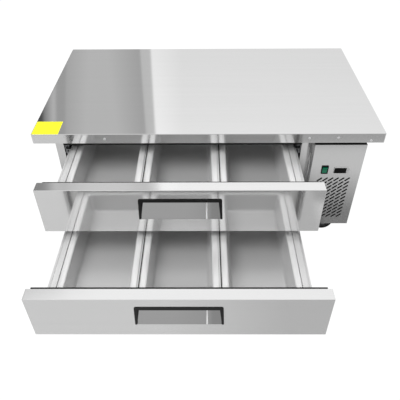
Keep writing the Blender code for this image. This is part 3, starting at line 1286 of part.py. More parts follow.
def fork_top_low():
    """The height of the underside of a fork's top plate."""
    return BODY_BOTTOM - PLATE_THICK - GAP - RACE_THICK - FORK_THICK


def pedal_mesh():
    """A brake pedal about its pin: a bored hub, an arm over the wheel and a wider pad for the foot."""
    ring = [(PEDAL_PIN + GAP, -PEDAL_ARM_WIDTH / 2), (PEDAL_HUB, -PEDAL_ARM_WIDTH / 2),
            (PEDAL_HUB, PEDAL_ARM_WIDTH / 2), (PEDAL_PIN + GAP, PEDAL_ARM_WIDTH / 2)]
    tube = turned(ring, SMALL_STEPS, Matrix.Rotation(math.pi / 2, 4, "X"), closed=True)
    upright = Matrix.Rotation(math.pi / 2, 4, "X")

    def middle(x):
        return -PEDAL_DROP * (x / PEDAL_REACH) ** 2

    def strip(start, end, thick, width):
        stops = (start, (start + end) / 2, end)
        under = [(x, middle(x) - thick / 2) for x in stops]
        over = [(x, middle(x) + thick / 2) for x in reversed(stops)]
        return plate([under + over], width, at(0, 0, 0, upright))

    arm = strip(PEDAL_HUB - JOIN * 2, PEDAL_PAD_START + JOIN * 2, PEDAL_THICK, PEDAL_ARM_WIDTH - JOIN)
    pad = strip(PEDAL_PAD_START, PEDAL_REACH, PEDAL_THICK + JOIN, PEDAL_PAD_WIDTH)
    return fused(tube, arm, pad)


def make_casters():
    wheel, fork, pedal = wheel_mesh(), fork_mesh(), pedal_mesh()
    names = ("front_left", "front_right", "rear_left", "rear_right")
    for name, (x, y), turn in zip(names, caster_places(), CASTER_TURNS, strict=True):
        swivel = hub(f"{name}_swivel", at(x, y, 0, Matrix.Rotation(math.radians(turn), 4, "Z")))
        carried(f"{name}_caster_fork", fork, ZINC, swivel)
        axle = hub(f"{name}_axle", at(CASTER_TRAIL, 0, CASTER_RADIUS), swivel)
        carried(f"{name}_caster_wheel", wheel, TYRE_RUBBER, axle, SMOOTH)
        if name.startswith("front"):
            pin = hub(f"{name}_pedal_pin", at(PEDAL_PIN_X, 0, fork_top_low() - PEDAL_PIN_BELOW), swivel)
            carried(f"{name}_brake_pedal", pedal, ZINC, pin)


make_worktop()
make_worktop_core()
make_outer_shell()
make_liner()
make_insulation()
make_front_frame()
make_base_frame()
make_machine_front_panel()
make_machine_side_panel()
make_machine_back_panel()
make_power_inlet()
make_switch()
make_controller()
make_condenser()
make_condenser_fan()
make_compressor()
make_control_box()
make_evaporator()
make_evaporator_cover()
make_evaporator_fan()
make_drawers()
make_slides()
make_casters()
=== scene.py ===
# %% [markdown]
# # A refrigerated chef base on casters
# This notebook dresses an engineering model of a low stainless steel refrigerator that stands under a cook's
# griddle. The model comes ready made, at its real size, and stays as it is. What is added here is what a
# camera sees: the brushed metal, the studio round it, and small pieces such as rivets, bearings and a lens.

# %% Load the model
import math

import bmesh
import bpy
from mathutils import Matrix, Vector


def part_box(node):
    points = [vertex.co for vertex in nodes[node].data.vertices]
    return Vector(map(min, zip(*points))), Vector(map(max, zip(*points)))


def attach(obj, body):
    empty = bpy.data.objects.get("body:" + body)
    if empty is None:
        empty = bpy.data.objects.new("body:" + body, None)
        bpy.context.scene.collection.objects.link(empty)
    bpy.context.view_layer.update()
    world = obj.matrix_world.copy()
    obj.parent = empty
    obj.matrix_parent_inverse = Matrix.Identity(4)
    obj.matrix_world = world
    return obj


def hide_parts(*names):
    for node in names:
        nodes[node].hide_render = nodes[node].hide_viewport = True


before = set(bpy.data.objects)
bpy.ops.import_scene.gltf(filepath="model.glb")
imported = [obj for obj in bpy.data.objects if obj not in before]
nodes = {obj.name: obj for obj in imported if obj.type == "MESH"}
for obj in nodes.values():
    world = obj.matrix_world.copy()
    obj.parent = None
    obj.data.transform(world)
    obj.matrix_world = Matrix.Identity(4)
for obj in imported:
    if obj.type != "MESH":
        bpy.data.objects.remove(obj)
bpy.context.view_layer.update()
scene = bpy.context.scene
print("pieces of the model:", len(nodes))

# %% [markdown]
# ## The camera
# The photograph looks down on the front from a little left of the middle. Straight edges in it gave the lens
# and the tilt: about 42 mm, 38 degrees down. The picture is cropped off its optical centre, which is a shift
# of the lens. A camera could also be moved by eye until the edges line up, but numbers worked out from the
# edges bring all of them into line at once.

# %% Camera
CAMERA_PLACE = (-0.0185, -1.7408, 1.8411)
CAMERA_TILT = -38.188
CAMERA_TURN = 0.603
CAMERA_ROLL = -0.525
CAMERA_LENS = 41.81
CAMERA_SHIFT = -0.1125


def turn(degrees, axis):
    return Matrix.Rotation(math.radians(degrees), 4, axis)


camera_data = bpy.data.cameras.new("camera")
camera_data.lens = CAMERA_LENS
camera_data.shift_y = CAMERA_SHIFT
camera = bpy.data.objects.new("camera", camera_data)
scene.collection.objects.link(camera)
camera.matrix_world = (Matrix.Translation(CAMERA_PLACE) @ turn(CAMERA_TURN, "Z")
                       @ turn(90 + CAMERA_TILT, "X") @ turn(CAMERA_ROLL, "Z"))
scene.camera = camera
scene.view_settings.view_transform = "Standard"
print("camera height in metres:", CAMERA_PLACE[2])

# %% [markdown]
# ## Shader maths that reads like maths
# A material is a graph of nodes. Wiring each sum by hand hides what it says, so a small class wraps an output
# socket and lets plus, minus and times add the Math nodes. Every other kind of node comes from one method,
# and a finish is a graph that ends in one Principled shader and remembers what it fed to it.


# %% Wires and finishes
class Wire:
    """An output socket that takes part in arithmetic: each operation adds a Math node to its tree."""

    def __init__(self, tree, socket):
        self.tree = tree
        self.socket = socket

    def math(self, operation, *values):
        node = self.tree.nodes.new("ShaderNodeMath")
        node.operation = operation
        for place, value in enumerate(values):
            join(self.tree, node.inputs[place], value)
        return Wire(self.tree, node.outputs[0])

    def __add__(self, other):
        return self.math("ADD", self, other)

    def __radd__(self, other):
        return self.math("ADD", other, self)

    def __sub__(self, other):
        return self.math("SUBTRACT", self, other)

    def __rsub__(self, other):
        return self.math("SUBTRACT", other, self)

    def __mul__(self, other):
        return self.math("MULTIPLY", self, other)

    def __rmul__(self, other):
        return self.math("MULTIPLY", other, self)

    def __truediv__(self, other):
        return self.math("DIVIDE", self, other)

    def step(self, low, high):
        """0 below low and 1 above high, with a straight ramp between them."""
        node = self.tree.nodes.new("ShaderNodeMapRange")
        node.inputs["From Min"].default_value = low
        node.inputs["From Max"].default_value = high
        join(self.tree, node.inputs["Value"], self)
        return Wire(self.tree, node.outputs["Result"])


def join(tree, socket, value):
    """Link a wire to a socket, or set the socket to a plain value."""
    if isinstance(value, Wire):
        tree.links.new(value.socket, socket)
    else:
        socket.default_value = value


class Graph:
    """A node tree being built."""

    def __init__(self, tree):
        self.tree = tree

    def node(self, kind, settings=None, sockets=None, out=0):
        """Add a node, set it up, fill its sockets, and give back one of its outputs."""
        made = self.tree.nodes.new("ShaderNode" + kind)
        for name, value in (settings or {}).items():
            setattr(made, name, value)
        for name, value in (sockets or {}).items():
            join(self.tree, made.inputs[name], value)
        return Wire(self.tree, made.outputs[out])

    def places(self):
        """Object coordinates, in metres."""
        return self.node("TexCoord", out="Object")

    def stretched(self, x, y, z):
        """Object coordinates with each axis multiplied."""
        return self.node("VectorMath", {"operation": "MULTIPLY"}, {0: self.places(), 1: (x, y, z)})

    def noise(self, vector, scale=1.0, detail=2.0):
        return self.node("TexNoise", sockets={"Vector": vector, "Scale": scale, "Detail": detail}, out="Fac")

    def blend(self, factor, first, second):
        """A colour between two colours."""
        return self.node("Mix", {"data_type": "RGBA"}, {0: factor, 6: first, 7: second}, out=2)


class Finish(Graph):
    """A material with one Principled shader."""

    def __init__(self, name, colour, roughness, metallic=0.0, **plain):
        self.material = bpy.data.materials.new(name)
        self.material.use_nodes = True
        super().__init__(self.material.node_tree)
        self.fed = {}
        self.shader = self.tree.nodes["Principled BSDF"]
        self.feed("Base Color", (*colour, 1.0))
        self.feed("Roughness", roughness)
        self.feed("Metallic", metallic)
        for socket, value in plain.items():
            self.feed(socket.replace("_", " "), value)

    def feed(self, socket, value):
        self.fed[socket] = value
        join(self.tree, self.shader.inputs[socket], value)

    def rough(self, height, depth, strength=1.0):
        """A relief of a height wire, depth in metres, on the surface."""
        self.feed("Normal", self.node("Bump", sockets={"Height": height, "Distance": depth,
                                                       "Strength": strength}, out="Normal"))


print("helpers ready: Wire, Graph, Finish")

# %% [markdown]
# ## The studio
# Polished steel shows the room more than itself, so the room is most of the picture. The worktop mirrors what
# stands far behind it: a grey wall at the left, a narrow lighter strip and a bright right side. That wall is
# painted into the world by bearing, in degrees from straight back, and only mirrors see it. Each change of
# tone runs from one bearing to another. A camera ray sees plain white. Real walls could be built round the
# object instead, but they would block the lamps and take longer to place.

# %% World
GREY_TONE = 0.08
FAR_LEFT_CHANGES = ((-22.8, -22.4, 0.22), (-22.3, -21.3, 0.24), (-21.1, -20.8, -0.15), (-19.8, -19.5, 0.08),
                    (-19.4, -16.8, 0.09))
MIDDLE_LEFT_CHANGE = (-12.8, -8.7, -0.13)
STRIP_TONE = 0.58
STRIP_START = (-8.62, -8.48)
STRIP_END = (-7.24, -7.08)
BRIGHT_TONE = 0.98
CEILING_TONE = 0.95
BEHIND_CAMERA_TONE = 0.50
ROOM_TONE = 0.62
world = bpy.data.worlds.new("studio")
scene.world = world
world.use_nodes = True
sky = Graph(world.node_tree)
axes = world.node_tree.nodes.new("ShaderNodeSeparateXYZ")
sky.tree.links.new(sky.node("TexCoord", out="Generated").socket, axes.inputs[0])
east, north, up = (Wire(sky.tree, axes.outputs[i]) for i in range(3))
bearing = sky.node("Math", {"operation": "ARCTAN2"}, {0: east, 1: north}) * (180 / math.pi)
far_left = bearing + 17 * (up - 0.53)
middle_left = bearing + 1.8 * (up - 0.50)

grey_wall = GREY_TONE
for start, end, change in FAR_LEFT_CHANGES:
    grey_wall = grey_wall + change * far_left.step(start, end)
start, end, change = MIDDLE_LEFT_CHANGE
grey_wall = grey_wall + change * middle_left.step(start, end)
strip = STRIP_TONE + 0.04 * up
bright_wall = BRIGHT_TONE - 0.12 * middle_left.step(-7.0, -3.0) + 0.10 * up.step(0.42, 0.60)
wall = grey_wall + (strip - grey_wall) * middle_left.step(*STRIP_START)
wall = wall + (bright_wall - wall) * middle_left.step(*STRIP_END)
mirrored = wall + (CEILING_TONE - wall) * up.step(0.70, 0.80)
behind_camera = BEHIND_CAMERA_TONE + 0.25 * up.step(0.55, 0.95)
mirrored = mirrored + (behind_camera - mirrored) * (1 - north.step(-0.25, 0.05))

rays = world.node_tree.nodes.new("ShaderNodeLightPath")
in_mirror = Wire(sky.tree, rays.outputs["Is Glossy Ray"])
in_camera = Wire(sky.tree, rays.outputs["Is Camera Ray"])
level = ROOM_TONE + (mirrored - ROOM_TONE) * in_mirror
level = level + (1.0 - level) * in_camera
background = world.node_tree.nodes["Background"]
join(sky.tree, background.inputs["Strength"], level)
background.inputs["Color"].default_value = (1, 1, 1, 1)
print("world: white to the camera, a grey and white room to mirrors")

# %% [markdown]
# The floor is a plain white sheet, and the camera sees it so. The upright steel mirrors it, and there it is
# grey: darkest close to the base, whose broad shadow falls on it, and darker in patches to the right. The
# shadow is painted by the distance from the base, so that it is as soft in the mirrors as in a lit studio.

# %% Floor
SHADOW_TONE = 0.20
SHADOW_LIFT = 0.43
SHADOW_REACH = (0.28, 0.66)
MIDDLE_PATCH = 0.17
RIGHT_PATCH = 0.30
CAMERA_WHITE = 1.05
CAMERA_SHARE = 0.97
bpy.ops.mesh.primitive_plane_add(size=40, location=(0, 0, 0))
floor = bpy.context.object
floor.name = "floor"
paper = Finish("white_paper", (0.80, 0.80, 0.80), 0.9)
floor.data.materials.append(paper.material)
spots = paper.tree.nodes.new("ShaderNodeSeparateXYZ")
paper.tree.links.new(paper.places().socket, spots.inputs[0])
spot_x, spot_y = (Wire(paper.tree, spots.outputs[i]) for i in range(2))
base_low, base_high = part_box("base_frame")


def beyond(spot, low, high):
    """How far a spot lies outside a stretch of one axis, or 0 inside it."""
    past = spot - high
    short = low - spot
    return past.math("MAXIMUM", past.math("MAXIMUM", past, short), 0.0)


far_x = beyond(spot_x, base_low[0], base_high[0])
far_y = beyond(spot_y, base_low[1], base_high[1])
far = far_x.math("SQRT", far_x * far_x + far_y * far_y)
far_right = spot_x.step(0.58, 0.64)
middle_right = spot_x.step(-0.2, 0.35) * (1 - far_right)
mirrored_floor = SHADOW_TONE + SHADOW_LIFT * far.step(*SHADOW_REACH) - MIDDLE_PATCH * middle_right
mirrored_floor = mirrored_floor - RIGHT_PATCH * far_right * (1 - spot_y.step(-0.97, -0.90))
paper_rays = paper.tree.nodes.new("ShaderNodeLightPath")
to_mirror = Wire(paper.tree, paper_rays.outputs["Is Glossy Ray"])
to_camera = Wire(paper.tree, paper_rays.outputs["Is Camera Ray"])
glow = paper.tree.nodes.new("ShaderNodeEmission")
join(paper.tree, glow.inputs["Strength"], mirrored_floor + (CAMERA_WHITE - mirrored_floor) * to_camera)
mix = paper.tree.nodes.new("ShaderNodeMixShader")
paper.tree.links.new(paper.shader.outputs[0], mix.inputs[1])
paper.tree.links.new(glow.outputs[0], mix.inputs[2])
join(paper.tree, mix.inputs[0], to_mirror + CAMERA_SHARE * to_camera)
paper.tree.links.new(mix.outputs[0], paper.tree.nodes["Material Output"].inputs["Surface"])
print("floor laid, its shadow reaches", SHADOW_REACH[1], "metres")

# %% [markdown]
# Two soft lamps light what isn't a mirror: a large one high up at the left, and a weak one low down at the
# left that reaches into the pans. They are square area lamps, because a small lamp or a sun would draw hard
# shadows that the photograph doesn't have.


# %% Lamps
def lamp(name, place, aim, size, power):
    """A square soft lamp that points from one place at another. Mirrors see the painted room in its place."""
    data = bpy.data.lights.new(name, "AREA")
    data.size = size
    data.energy = power
    made = bpy.data.objects.new(name, data)
    scene.collection.objects.link(made)
    made.location = place
    made.rotation_euler = (Vector(aim) - Vector(place)).to_track_quat("-Z", "Y").to_euler()
    made.visible_glossy = False
    return made


lamp("ceiling_softbox", (-1.4, -1.0, 3.2), (0.0, -0.5, 0.0), 1.8, 62)
lamp("left_softbox", (-2.0, -1.9, 1.3), (-0.45, -0.55, 0.25), 1.2, 7)

# %% [markdown]
# ## Brushed stainless steel
# The sheet is rolled and then brushed along its length with an abrasive belt. The scratches are far finer
# than a pixel, so they show as a mirror that is blurred across the grain and stays sharp along it. A relief
# of long thin noise gives that blur, and a second, coarser noise gives the faint lanes the belt leaves. The
# shader's own anisotropy would blur as well, but it needs tangents, and a relief works on any mesh.


# %% Steel finishes
def grain(finish, along, across):
    """Long thin noise: along X on faces that point up or forwards, along Y on faces that point sideways."""
    normal = finish.node("NewGeometry", out="Normal")
    facing = finish.tree.nodes.new("ShaderNodeSeparateXYZ")
    finish.tree.links.new(normal.socket, facing.inputs[0])
    side = Wire(finish.tree, facing.outputs[0]).math("ABSOLUTE", Wire(finish.tree, facing.outputs[0]))
    sideways = side.step(0.6, 0.7)
    forward = finish.stretched(along, across, across)
    turned = finish.stretched(across, along, across)
    vector = finish.node("Mix", {"data_type": "VECTOR"}, {0: sideways, 4: forward, 5: turned}, out=1)
    return finish.noise(vector)


def brushed(name, colour, roughness, dull=0.0, relief=0.00002, lanes=0.03):
    """Brushed sheet. Its dull share scatters light all round instead of mirroring it."""
    finish = Finish(name, (colour, colour, colour), roughness, 1.0 - dull)
    fine = grain(finish, 4, 900)
    lane = grain(finish, 1.2, 45)
    finish.feed("Roughness", (lane - 0.5) * lanes + roughness)
    shade = finish.blend(lane.step(0.3, 0.7), (colour * 0.985,) * 3 + (1,), (colour,) * 3 + (1,))
    finish.feed("Base Color", shade)
    finish.rough(fine, relief)
    return finish


stainless = brushed("brushed_stainless", 0.80, 0.13).material
front_finish = brushed("brushed_front_sheet", 0.86, 0.085, dull=0.16, relief=0.00001, lanes=0.02)
front_sheet = front_finish.material
print("finishes:", stainless.name, front_sheet.name)

# %% [markdown]
# Some sheets carry a second finish on a part of their face. The faces could be cut apart and given two
# materials, but a label or a black strip is thinner than any step in the sheet. A mask worked out from the
# place on the sheet, in metres, lays the second finish over the first and leaves the mesh alone.


# %% Coats over a part of a sheet
def between(place, low, high, soft=0.0002):
    """1 between two places on an axis, and 0 outside them."""
    return place.step(low - soft, low) * (1 - place.step(high, high + soft))


def coat(finish, mask_of, colour, roughness, metallic=0.0):
    """Lay a flat coat over a finish where the mask is 1."""
    split = finish.tree.nodes.new("ShaderNodeSeparateXYZ")
    finish.tree.links.new(finish.places().socket, split.inputs[0])
    mask = mask_of(*(Wire(finish.tree, split.outputs[i]) for i in range(3)))
    bare = 1 - mask
    finish.feed("Base Color", finish.blend(mask, finish.fed["Base Color"], (*colour, 1.0)))
    finish.feed("Roughness", bare * finish.fed["Roughness"] + mask * roughness)
    finish.feed("Metallic", bare * finish.fed["Metallic"] + mask * metallic)


print("helpers ready: between, coat")

# %% [markdown]
# The worktop's drop, which is the folded edge all round, is a little duller than its top. In the front left
# corner of the top lies a yellow label, left blank. Both masks hang on the height below the top, so that
# neither runs over the edge onto the other face.

# %% Worktop sheet
LABEL_INSET = (0.003, 0.002)
LABEL_SIZE = (0.115, 0.097)
LABEL_YELLOW = (1.0, 1.0, 0.02)
DROP_GREY = (0.83, 0.83, 0.83)
DROP_BELOW_TOP = (0.0030, 0.0025)
LABEL_BELOW_TOP = (0.0010, 0.0005)
top_low, top_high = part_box("worktop")
label_low = [top_low[i] + LABEL_INSET[i] for i in range(2)]
label_high = [label_low[i] + LABEL_SIZE[i] for i in range(2)]


def on_drop(x, y, z):
    return 1 - z.step(*(top_high[2] - below for below in DROP_BELOW_TOP))


def on_label(x, y, z):
    return (between(x, label_low[0], label_high[0]) * between(y, label_low[1], label_high[1])
            * z.step(*(top_high[2] - below for below in LABEL_BELOW_TOP)))


top_sheet = brushed("worktop_sheet", 0.80, 0.045, relief=0.000004, lanes=0.015)
coat(top_sheet, on_drop, DROP_GREY, 0.10, 0.85)
coat(top_sheet, on_label, LABEL_YELLOW, 0.5)
print("worktop sheet with a blank label")

# %% [markdown]
# The face frame has a black strip above the upper drawer: painted shade, for the shadowed gap under the
# worktop's drop. Beside each divider bar between two pans a dark line is painted, for the shadowed gap
# between rim and bar. The steel pocket behind a handle is painted darker for its shade, with one painted
# highlight and deeper painted shade to the right of it. The dark lines lie halfway between two pans, so their
# places are read from the pans.

# %% Face frame, rails and handle pockets
# Painted shade: a black strip for the shadowed gap under the worktop's drop.
GAP_SHADE_BLACK = (0.004, 0.004, 0.004)
GAP_SHADE_BELOW_FRONT_TOP = 0.0185
GAP_SHADE_HEIGHT = 0.0095
GAP_SHADE_OVERLAP = 0.0005
# Painted shadow: a dark line beside each divider bar, for the gap between a pan's rim and the bar.
GAP_SHADOW_WIDTH = 0.0045
GAP_SHADOW_BLACK = (0.03, 0.03, 0.03)
# A painted highlight in each handle pocket, with painted shade to the right of it.
HIGHLIGHT_X = -0.0095
HIGHLIGHT_WIDTH = 0.0045
POCKET_SHADE_FADE = 0.02
PAINTED_HIGHLIGHT_WHITE = (0.95, 0.95, 0.95)
POCKET_SHADE_GREY = (0.42, 0.42, 0.42)
opening_low, opening_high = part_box("liner")
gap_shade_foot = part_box("upper_front_skin")[1][2] - GAP_SHADE_BELOW_FRONT_TOP
gap_shadow_at = [(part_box(f"upper_pan_{i}")[1][0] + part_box(f"upper_pan_{i + 1}")[0][0]) / 2 for i in (1, 2)]


# Where the painted shade of the gap under the drop lies on the face frame.
def on_gap_shade(x, y, z):
    return (between(z, gap_shade_foot - GAP_SHADE_OVERLAP, gap_shade_foot + GAP_SHADE_HEIGHT)
            * between(x, opening_low[0], opening_high[0]))


# Where the painted shadow beside each divider bar lies.
def in_gap_shadow(x, y, z):
    first, second = (between(x, place, place + GAP_SHADOW_WIDTH) for place in gap_shadow_at)
    return first + second


# Where the highlight is painted in the pocket.
def on_painted_highlight(x, y, z):
    return between(x, HIGHLIGHT_X, HIGHLIGHT_X + HIGHLIGHT_WIDTH, 0.001)


# Where the pocket's deeper shade is painted, to the right of the highlight.
def in_painted_pocket_shade(x, y, z):
    return x.step(HIGHLIGHT_X + HIGHLIGHT_WIDTH, HIGHLIGHT_X + HIGHLIGHT_WIDTH + POCKET_SHADE_FADE)


frame_sheet = brushed("face_frame_sheet", 0.80, 0.13)
# Painted shade: the black strip under the worktop's drop.
coat(frame_sheet, on_gap_shade, GAP_SHADE_BLACK, 0.6)
rail_finish = brushed("rail_sheet", 0.84, 0.34, dull=0.45)
# Painted shadow: the dark lines beside the divider bars.
coat(rail_finish, in_gap_shadow, GAP_SHADOW_BLACK, 0.6)
rail_sheet = rail_finish.material
# The pocket's steel is darker than the fronts: painted shade of the recess, then its highlight and deeper
# shade.
shaded_scoop_sheet = brushed("handle_scoop_shaded_sheet", 0.52, 0.10)
coat(shaded_scoop_sheet, in_painted_pocket_shade, POCKET_SHADE_GREY, 0.10, 1.0)
coat(shaded_scoop_sheet, on_painted_highlight, PAINTED_HIGHLIGHT_WHITE, 0.4, 0.1)
# These are the places of the painted shadow lines.
print("grooves at:", [round(place, 3) for place in gap_shadow_at])

# %% [markdown]
# Round each slot of the grille a band of painted shade stands for the rolled lip that looks into the dark
# inside, and the top edge of its panel is painted dark too, for the shade in the gap under the worktop.
# Modelled lips would be 66 rings of small faces that a pixel can't show. The slots repeat, so one distance,
# from the nearest slot's middle line, serves them all.

# %% Grille panel sheet
SLOT_PITCH = (0.0256, 0.0235)
SLOT_SIZE = (0.0285, 0.0060)
SLOT_SHADE_RIM = 0.0013
SLOT_TILT = math.radians(43)
SLOTS = (6, 11)
SLOT_FROM_LEFT = 0.0475
SLOT_BELOW_TOP = 0.260
# Painted shade: black for the dark seen past each slot's lip and for the gap above the panel.
SLOT_AND_GAP_SHADE_BLACK = (0.010, 0.010, 0.010)
panel_low, panel_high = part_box("machine_front_panel")
first_slot = (panel_low[0] + SLOT_FROM_LEFT, top_high[2] - SLOT_BELOW_TOP)
slots_left = first_slot[0] - SLOT_PITCH[0] / 2
slots_top = first_slot[1] + SLOT_PITCH[1] / 2


def in_slot_shade(x, y, z):
    """1 within a band of painted shade round a slot of the grille, whose rows and columns repeat."""
    column = (x - first_slot[0]) / SLOT_PITCH[0]
    row = (z - first_slot[1]) / SLOT_PITCH[1]
    across_x = (column - column.math("ROUND", column)) * SLOT_PITCH[0]
    across_z = (row - row.math("ROUND", row)) * SLOT_PITCH[1]
    along = across_x * math.cos(SLOT_TILT) + across_z * math.sin(SLOT_TILT)
    away = across_z * math.cos(SLOT_TILT) - across_x * math.sin(SLOT_TILT)
    past = along.math("ABSOLUTE", along) - (SLOT_SIZE[0] - SLOT_SIZE[1]) / 2
    end = past.math("MAXIMUM", past, 0.0)
    distance = end.math("SQRT", end * end + away * away)
    reach = SLOT_SIZE[1] / 2 + SLOT_SHADE_RIM
    grille = (between(x, slots_left, slots_left + SLOTS[0] * SLOT_PITCH[0])
              * between(z, slots_top - SLOTS[1] * SLOT_PITCH[1], slots_top))
    return (1 - distance.step(reach - 0.0002, reach)) * grille


# Painted shade on the panel's top edge, in the gap under the worktop.
def on_top_edge_shade(x, y, z):
    return z.step(panel_high[2] - 0.0004, panel_high[2] - 0.0002)


grille_sheet = brushed("grille_panel_sheet", 0.80, 0.13, dull=0.1)
coat(grille_sheet, in_slot_shade, SLOT_AND_GAP_SHADE_BLACK, 0.6)
coat(grille_sheet, on_top_edge_shade, SLOT_AND_GAP_SHADE_BLACK, 0.6)
# Each of these slots is ringed with painted shade.
print("slots with a dark lip:", SLOTS[0] * SLOTS[1])

# %% [markdown]
# Pans are drawn from a smoother sheet and keep a dull mirror, with soft marks of the press on their walls.
# Their rims take a lighter coat: a painted highlight. A pure metal would mirror the dark room and turn
# too deep a grey, so a part of this steel scatters light, as a blasted surface does.

# %% Pan steel
# Painted highlight: a lighter band on the rims of the pans.
RIM_HIGHLIGHT_BAND = 0.0035
RIM_HIGHLIGHT_WHITE = (0.93, 0.93, 0.93)


def drawn_steel(name, colour, roughness):
    """Pressed and blasted steel: part mirror, part an even grey that is lit from all round."""
    finish = Finish(name, (colour, colour, colour), roughness, 0.55)
    cloud = finish.noise(finish.stretched(9, 9, 9), detail=3)
    fine = finish.noise(finish.stretched(350, 350, 350), detail=1)
    finish.feed("Roughness", (cloud - 0.5) * 0.10 + roughness)
    finish.rough(fine, 0.00001)
    # The painted highlight on the rims.
    coat(finish, on_rim_highlight, RIM_HIGHLIGHT_WHITE, 0.30, 0.45)
    return finish.material


def on_rim_highlight(x, y, z):
    """1 on the rims of the pans of either drawer, where a highlight is painted."""
    rims = [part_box(drawer + "_pan_1")[1][2] for drawer in ("upper", "lower")]
    upper, lower = (between(z, rim - RIM_HIGHLIGHT_BAND, rim + RIM_HIGHLIGHT_BAND) for rim in rims)
    return upper + lower


pan_steel = drawn_steel("drawn_pan_steel", 0.76, 0.34)
print("finish:", pan_steel.name)

# %% [markdown]
# The other finishes are zinc, sprayed paint and moulded plastics. Each is a plain colour with a little noise
# in its roughness and a fine relief: without these a surface looks like a drawing of itself. Zinc that was
# dipped hot shows crystals, which a Voronoi pattern gives.


# %% Zinc, plastics, rubber and foam
def galvanised_steel():
    """Hot dipped zinc shows crystals of slightly different brightness."""
    finish = Finish("galvanised_sheet", (0.55, 0.57, 0.59), 0.42, 1.0)
    vector = finish.stretched(90, 90, 90)
    cells = finish.node("TexVoronoi", sockets={"Vector": vector, "Scale": 1.0}, out="Color")
    tone = finish.node("RGBToBW", sockets={0: cells})
    finish.feed("Base Color", finish.blend(tone, (0.48, 0.50, 0.52, 1), (0.62, 0.64, 0.66, 1)))
    finish.feed("Roughness", tone * 0.15 + 0.34)
    return finish.material


def zinc_plate():
    finish = Finish("zinc_plate", (0.66, 0.67, 0.69), 0.28, 1.0)
    cloud = finish.noise(finish.stretched(120, 120, 120))
    finish.feed("Roughness", cloud * 0.2 + 0.18)
    finish.rough(finish.noise(finish.stretched(1500, 1500, 1500)), 0.00001)
    return finish.material


def moulded(name, colour, roughness, grain_size=1800, depth=0.00002, **plain):
    """Plastic or rubber from a mould that was lightly etched."""
    finish = Finish(name, colour, roughness, 0.0, **plain)
    etch = finish.noise(finish.stretched(grain_size, grain_size, grain_size))
    cloud = finish.noise(finish.stretched(30, 30, 30))
    finish.feed("Roughness", cloud * 0.12 + (roughness - 0.06))
    finish.rough(etch, depth)
    return finish.material


galvanised = galvanised_steel()
zinc = zinc_plate()
black_plastic = moulded("black_plastic", (0.005, 0.005, 0.005), 0.42, Specular_IOR_Level=0.25)
fan_plastic = moulded("black_fan_plastic", (0.02, 0.02, 0.02), 0.5)
grey_plastic = moulded("light_grey_plastic", (0.62, 0.62, 0.62), 0.38)
liner_plastic = moulded("white_panel_plastic", (0.72, 0.72, 0.71), 0.4)
gasket_rubber = moulded("gasket_rubber", (0.006, 0.006, 0.006), 0.55, Specular_IOR_Level=0.25)
tyre_rubber = moulded("tyre_rubber", (0.012, 0.012, 0.012), 0.6, 900, 0.00005)
black_paint = moulded("black_paint", (0.015, 0.015, 0.016), 0.35, 500, 0.00004)
foam = moulded("insulating_foam", (0.78, 0.68, 0.40), 0.9, 400, 0.0003)
core_board = moulded("core_board", (0.60, 0.60, 0.60), 0.8, 400, 0.0002)
fins = moulded("aluminium_fins", (0.72, 0.73, 0.74), 0.38, 600, 0.00003, Metallic=1.0)
green_lamp = moulded("green_lit_plastic", (0.004, 0.10, 0.05), 0.25, Emission_Strength=0.25)
green_lamp.node_tree.nodes["Principled BSDF"].inputs["Emission Color"].default_value = (0.0, 0.28, 0.14, 1)
print("finishes:", len(bpy.data.materials))

# %% [markdown]
# Each piece of the model now takes the finish of the real piece. The names of the pieces say what they are,
# so a short list of name endings is enough. Where two endings fit, the longer one says more and is taken.

# %% Give every piece its finish
FINISHES = [
    (stainless, ("outer_shell", "liner")),
    (rail_sheet, ("pan_carrier",)),
    (front_sheet, ("front_skin", "machine_side_panel")),
    (top_sheet.material, ("worktop",)),
    (frame_sheet.material, ("front_frame",)),
    (grille_sheet.material, ("machine_front_panel",)),
    (shaded_scoop_sheet.material, ("handle_scoop",)),
    (pan_steel, ("pan_1", "pan_2", "pan_3")),
    (galvanised, ("base_frame", "machine_back_panel", "control_box", "evaporator_cover")),
    (zinc, ("slide_fixed_left", "slide_fixed_right", "slide_middle_left", "slide_middle_right", "caster_fork",
            "brake_pedal")),
    (foam, ("insulation",)),
    (core_board, ("worktop_core",)),
    (fins, ("evaporator_coil",)),
    (black_paint, ("compressor", "condenser", "condenser_fan_shroud")),
    (fan_plastic, ("condenser_fan", "evaporator_fan")),
    (black_plastic, ("power_inlet", "switch_bezel", "handle_bezel")),
    (grey_plastic, ("controller_bezel", "controller_button_up", "controller_button_down")),
    (green_lamp, ("switch_rocker",)),
    (liner_plastic, ("inner_panel",)),
    (gasket_rubber, ("gasket",)),
    (tyre_rubber, ("caster_wheel",)),
]


def finish_for(name):
    fitting = [(len(end), material) for material, ends in FINISHES for end in ends if name.endswith(end)]
    return max(fitting, key=lambda pair: pair[0])[1]


for name, node in nodes.items():
    node.data.materials.clear()
    node.data.materials.append(finish_for(name))
print("dressed:", len(nodes))

# %% [markdown]
# ## Modelling by hand, in code
# The pieces below are modelled as one would in the window: add a primitive, go into edit mode, select by
# place, extrude, scale, bevel. A few short helpers do the selecting, because an operator acts on all that is
# selected.


# %% Selecting and finishing pieces
def choose(*objects):
    """Select only these objects, with the first one active."""
    bpy.ops.object.select_all(action="DESELECT")
    for each in objects:
        each.select_set(True)
    bpy.context.view_layer.objects.active = objects[0]


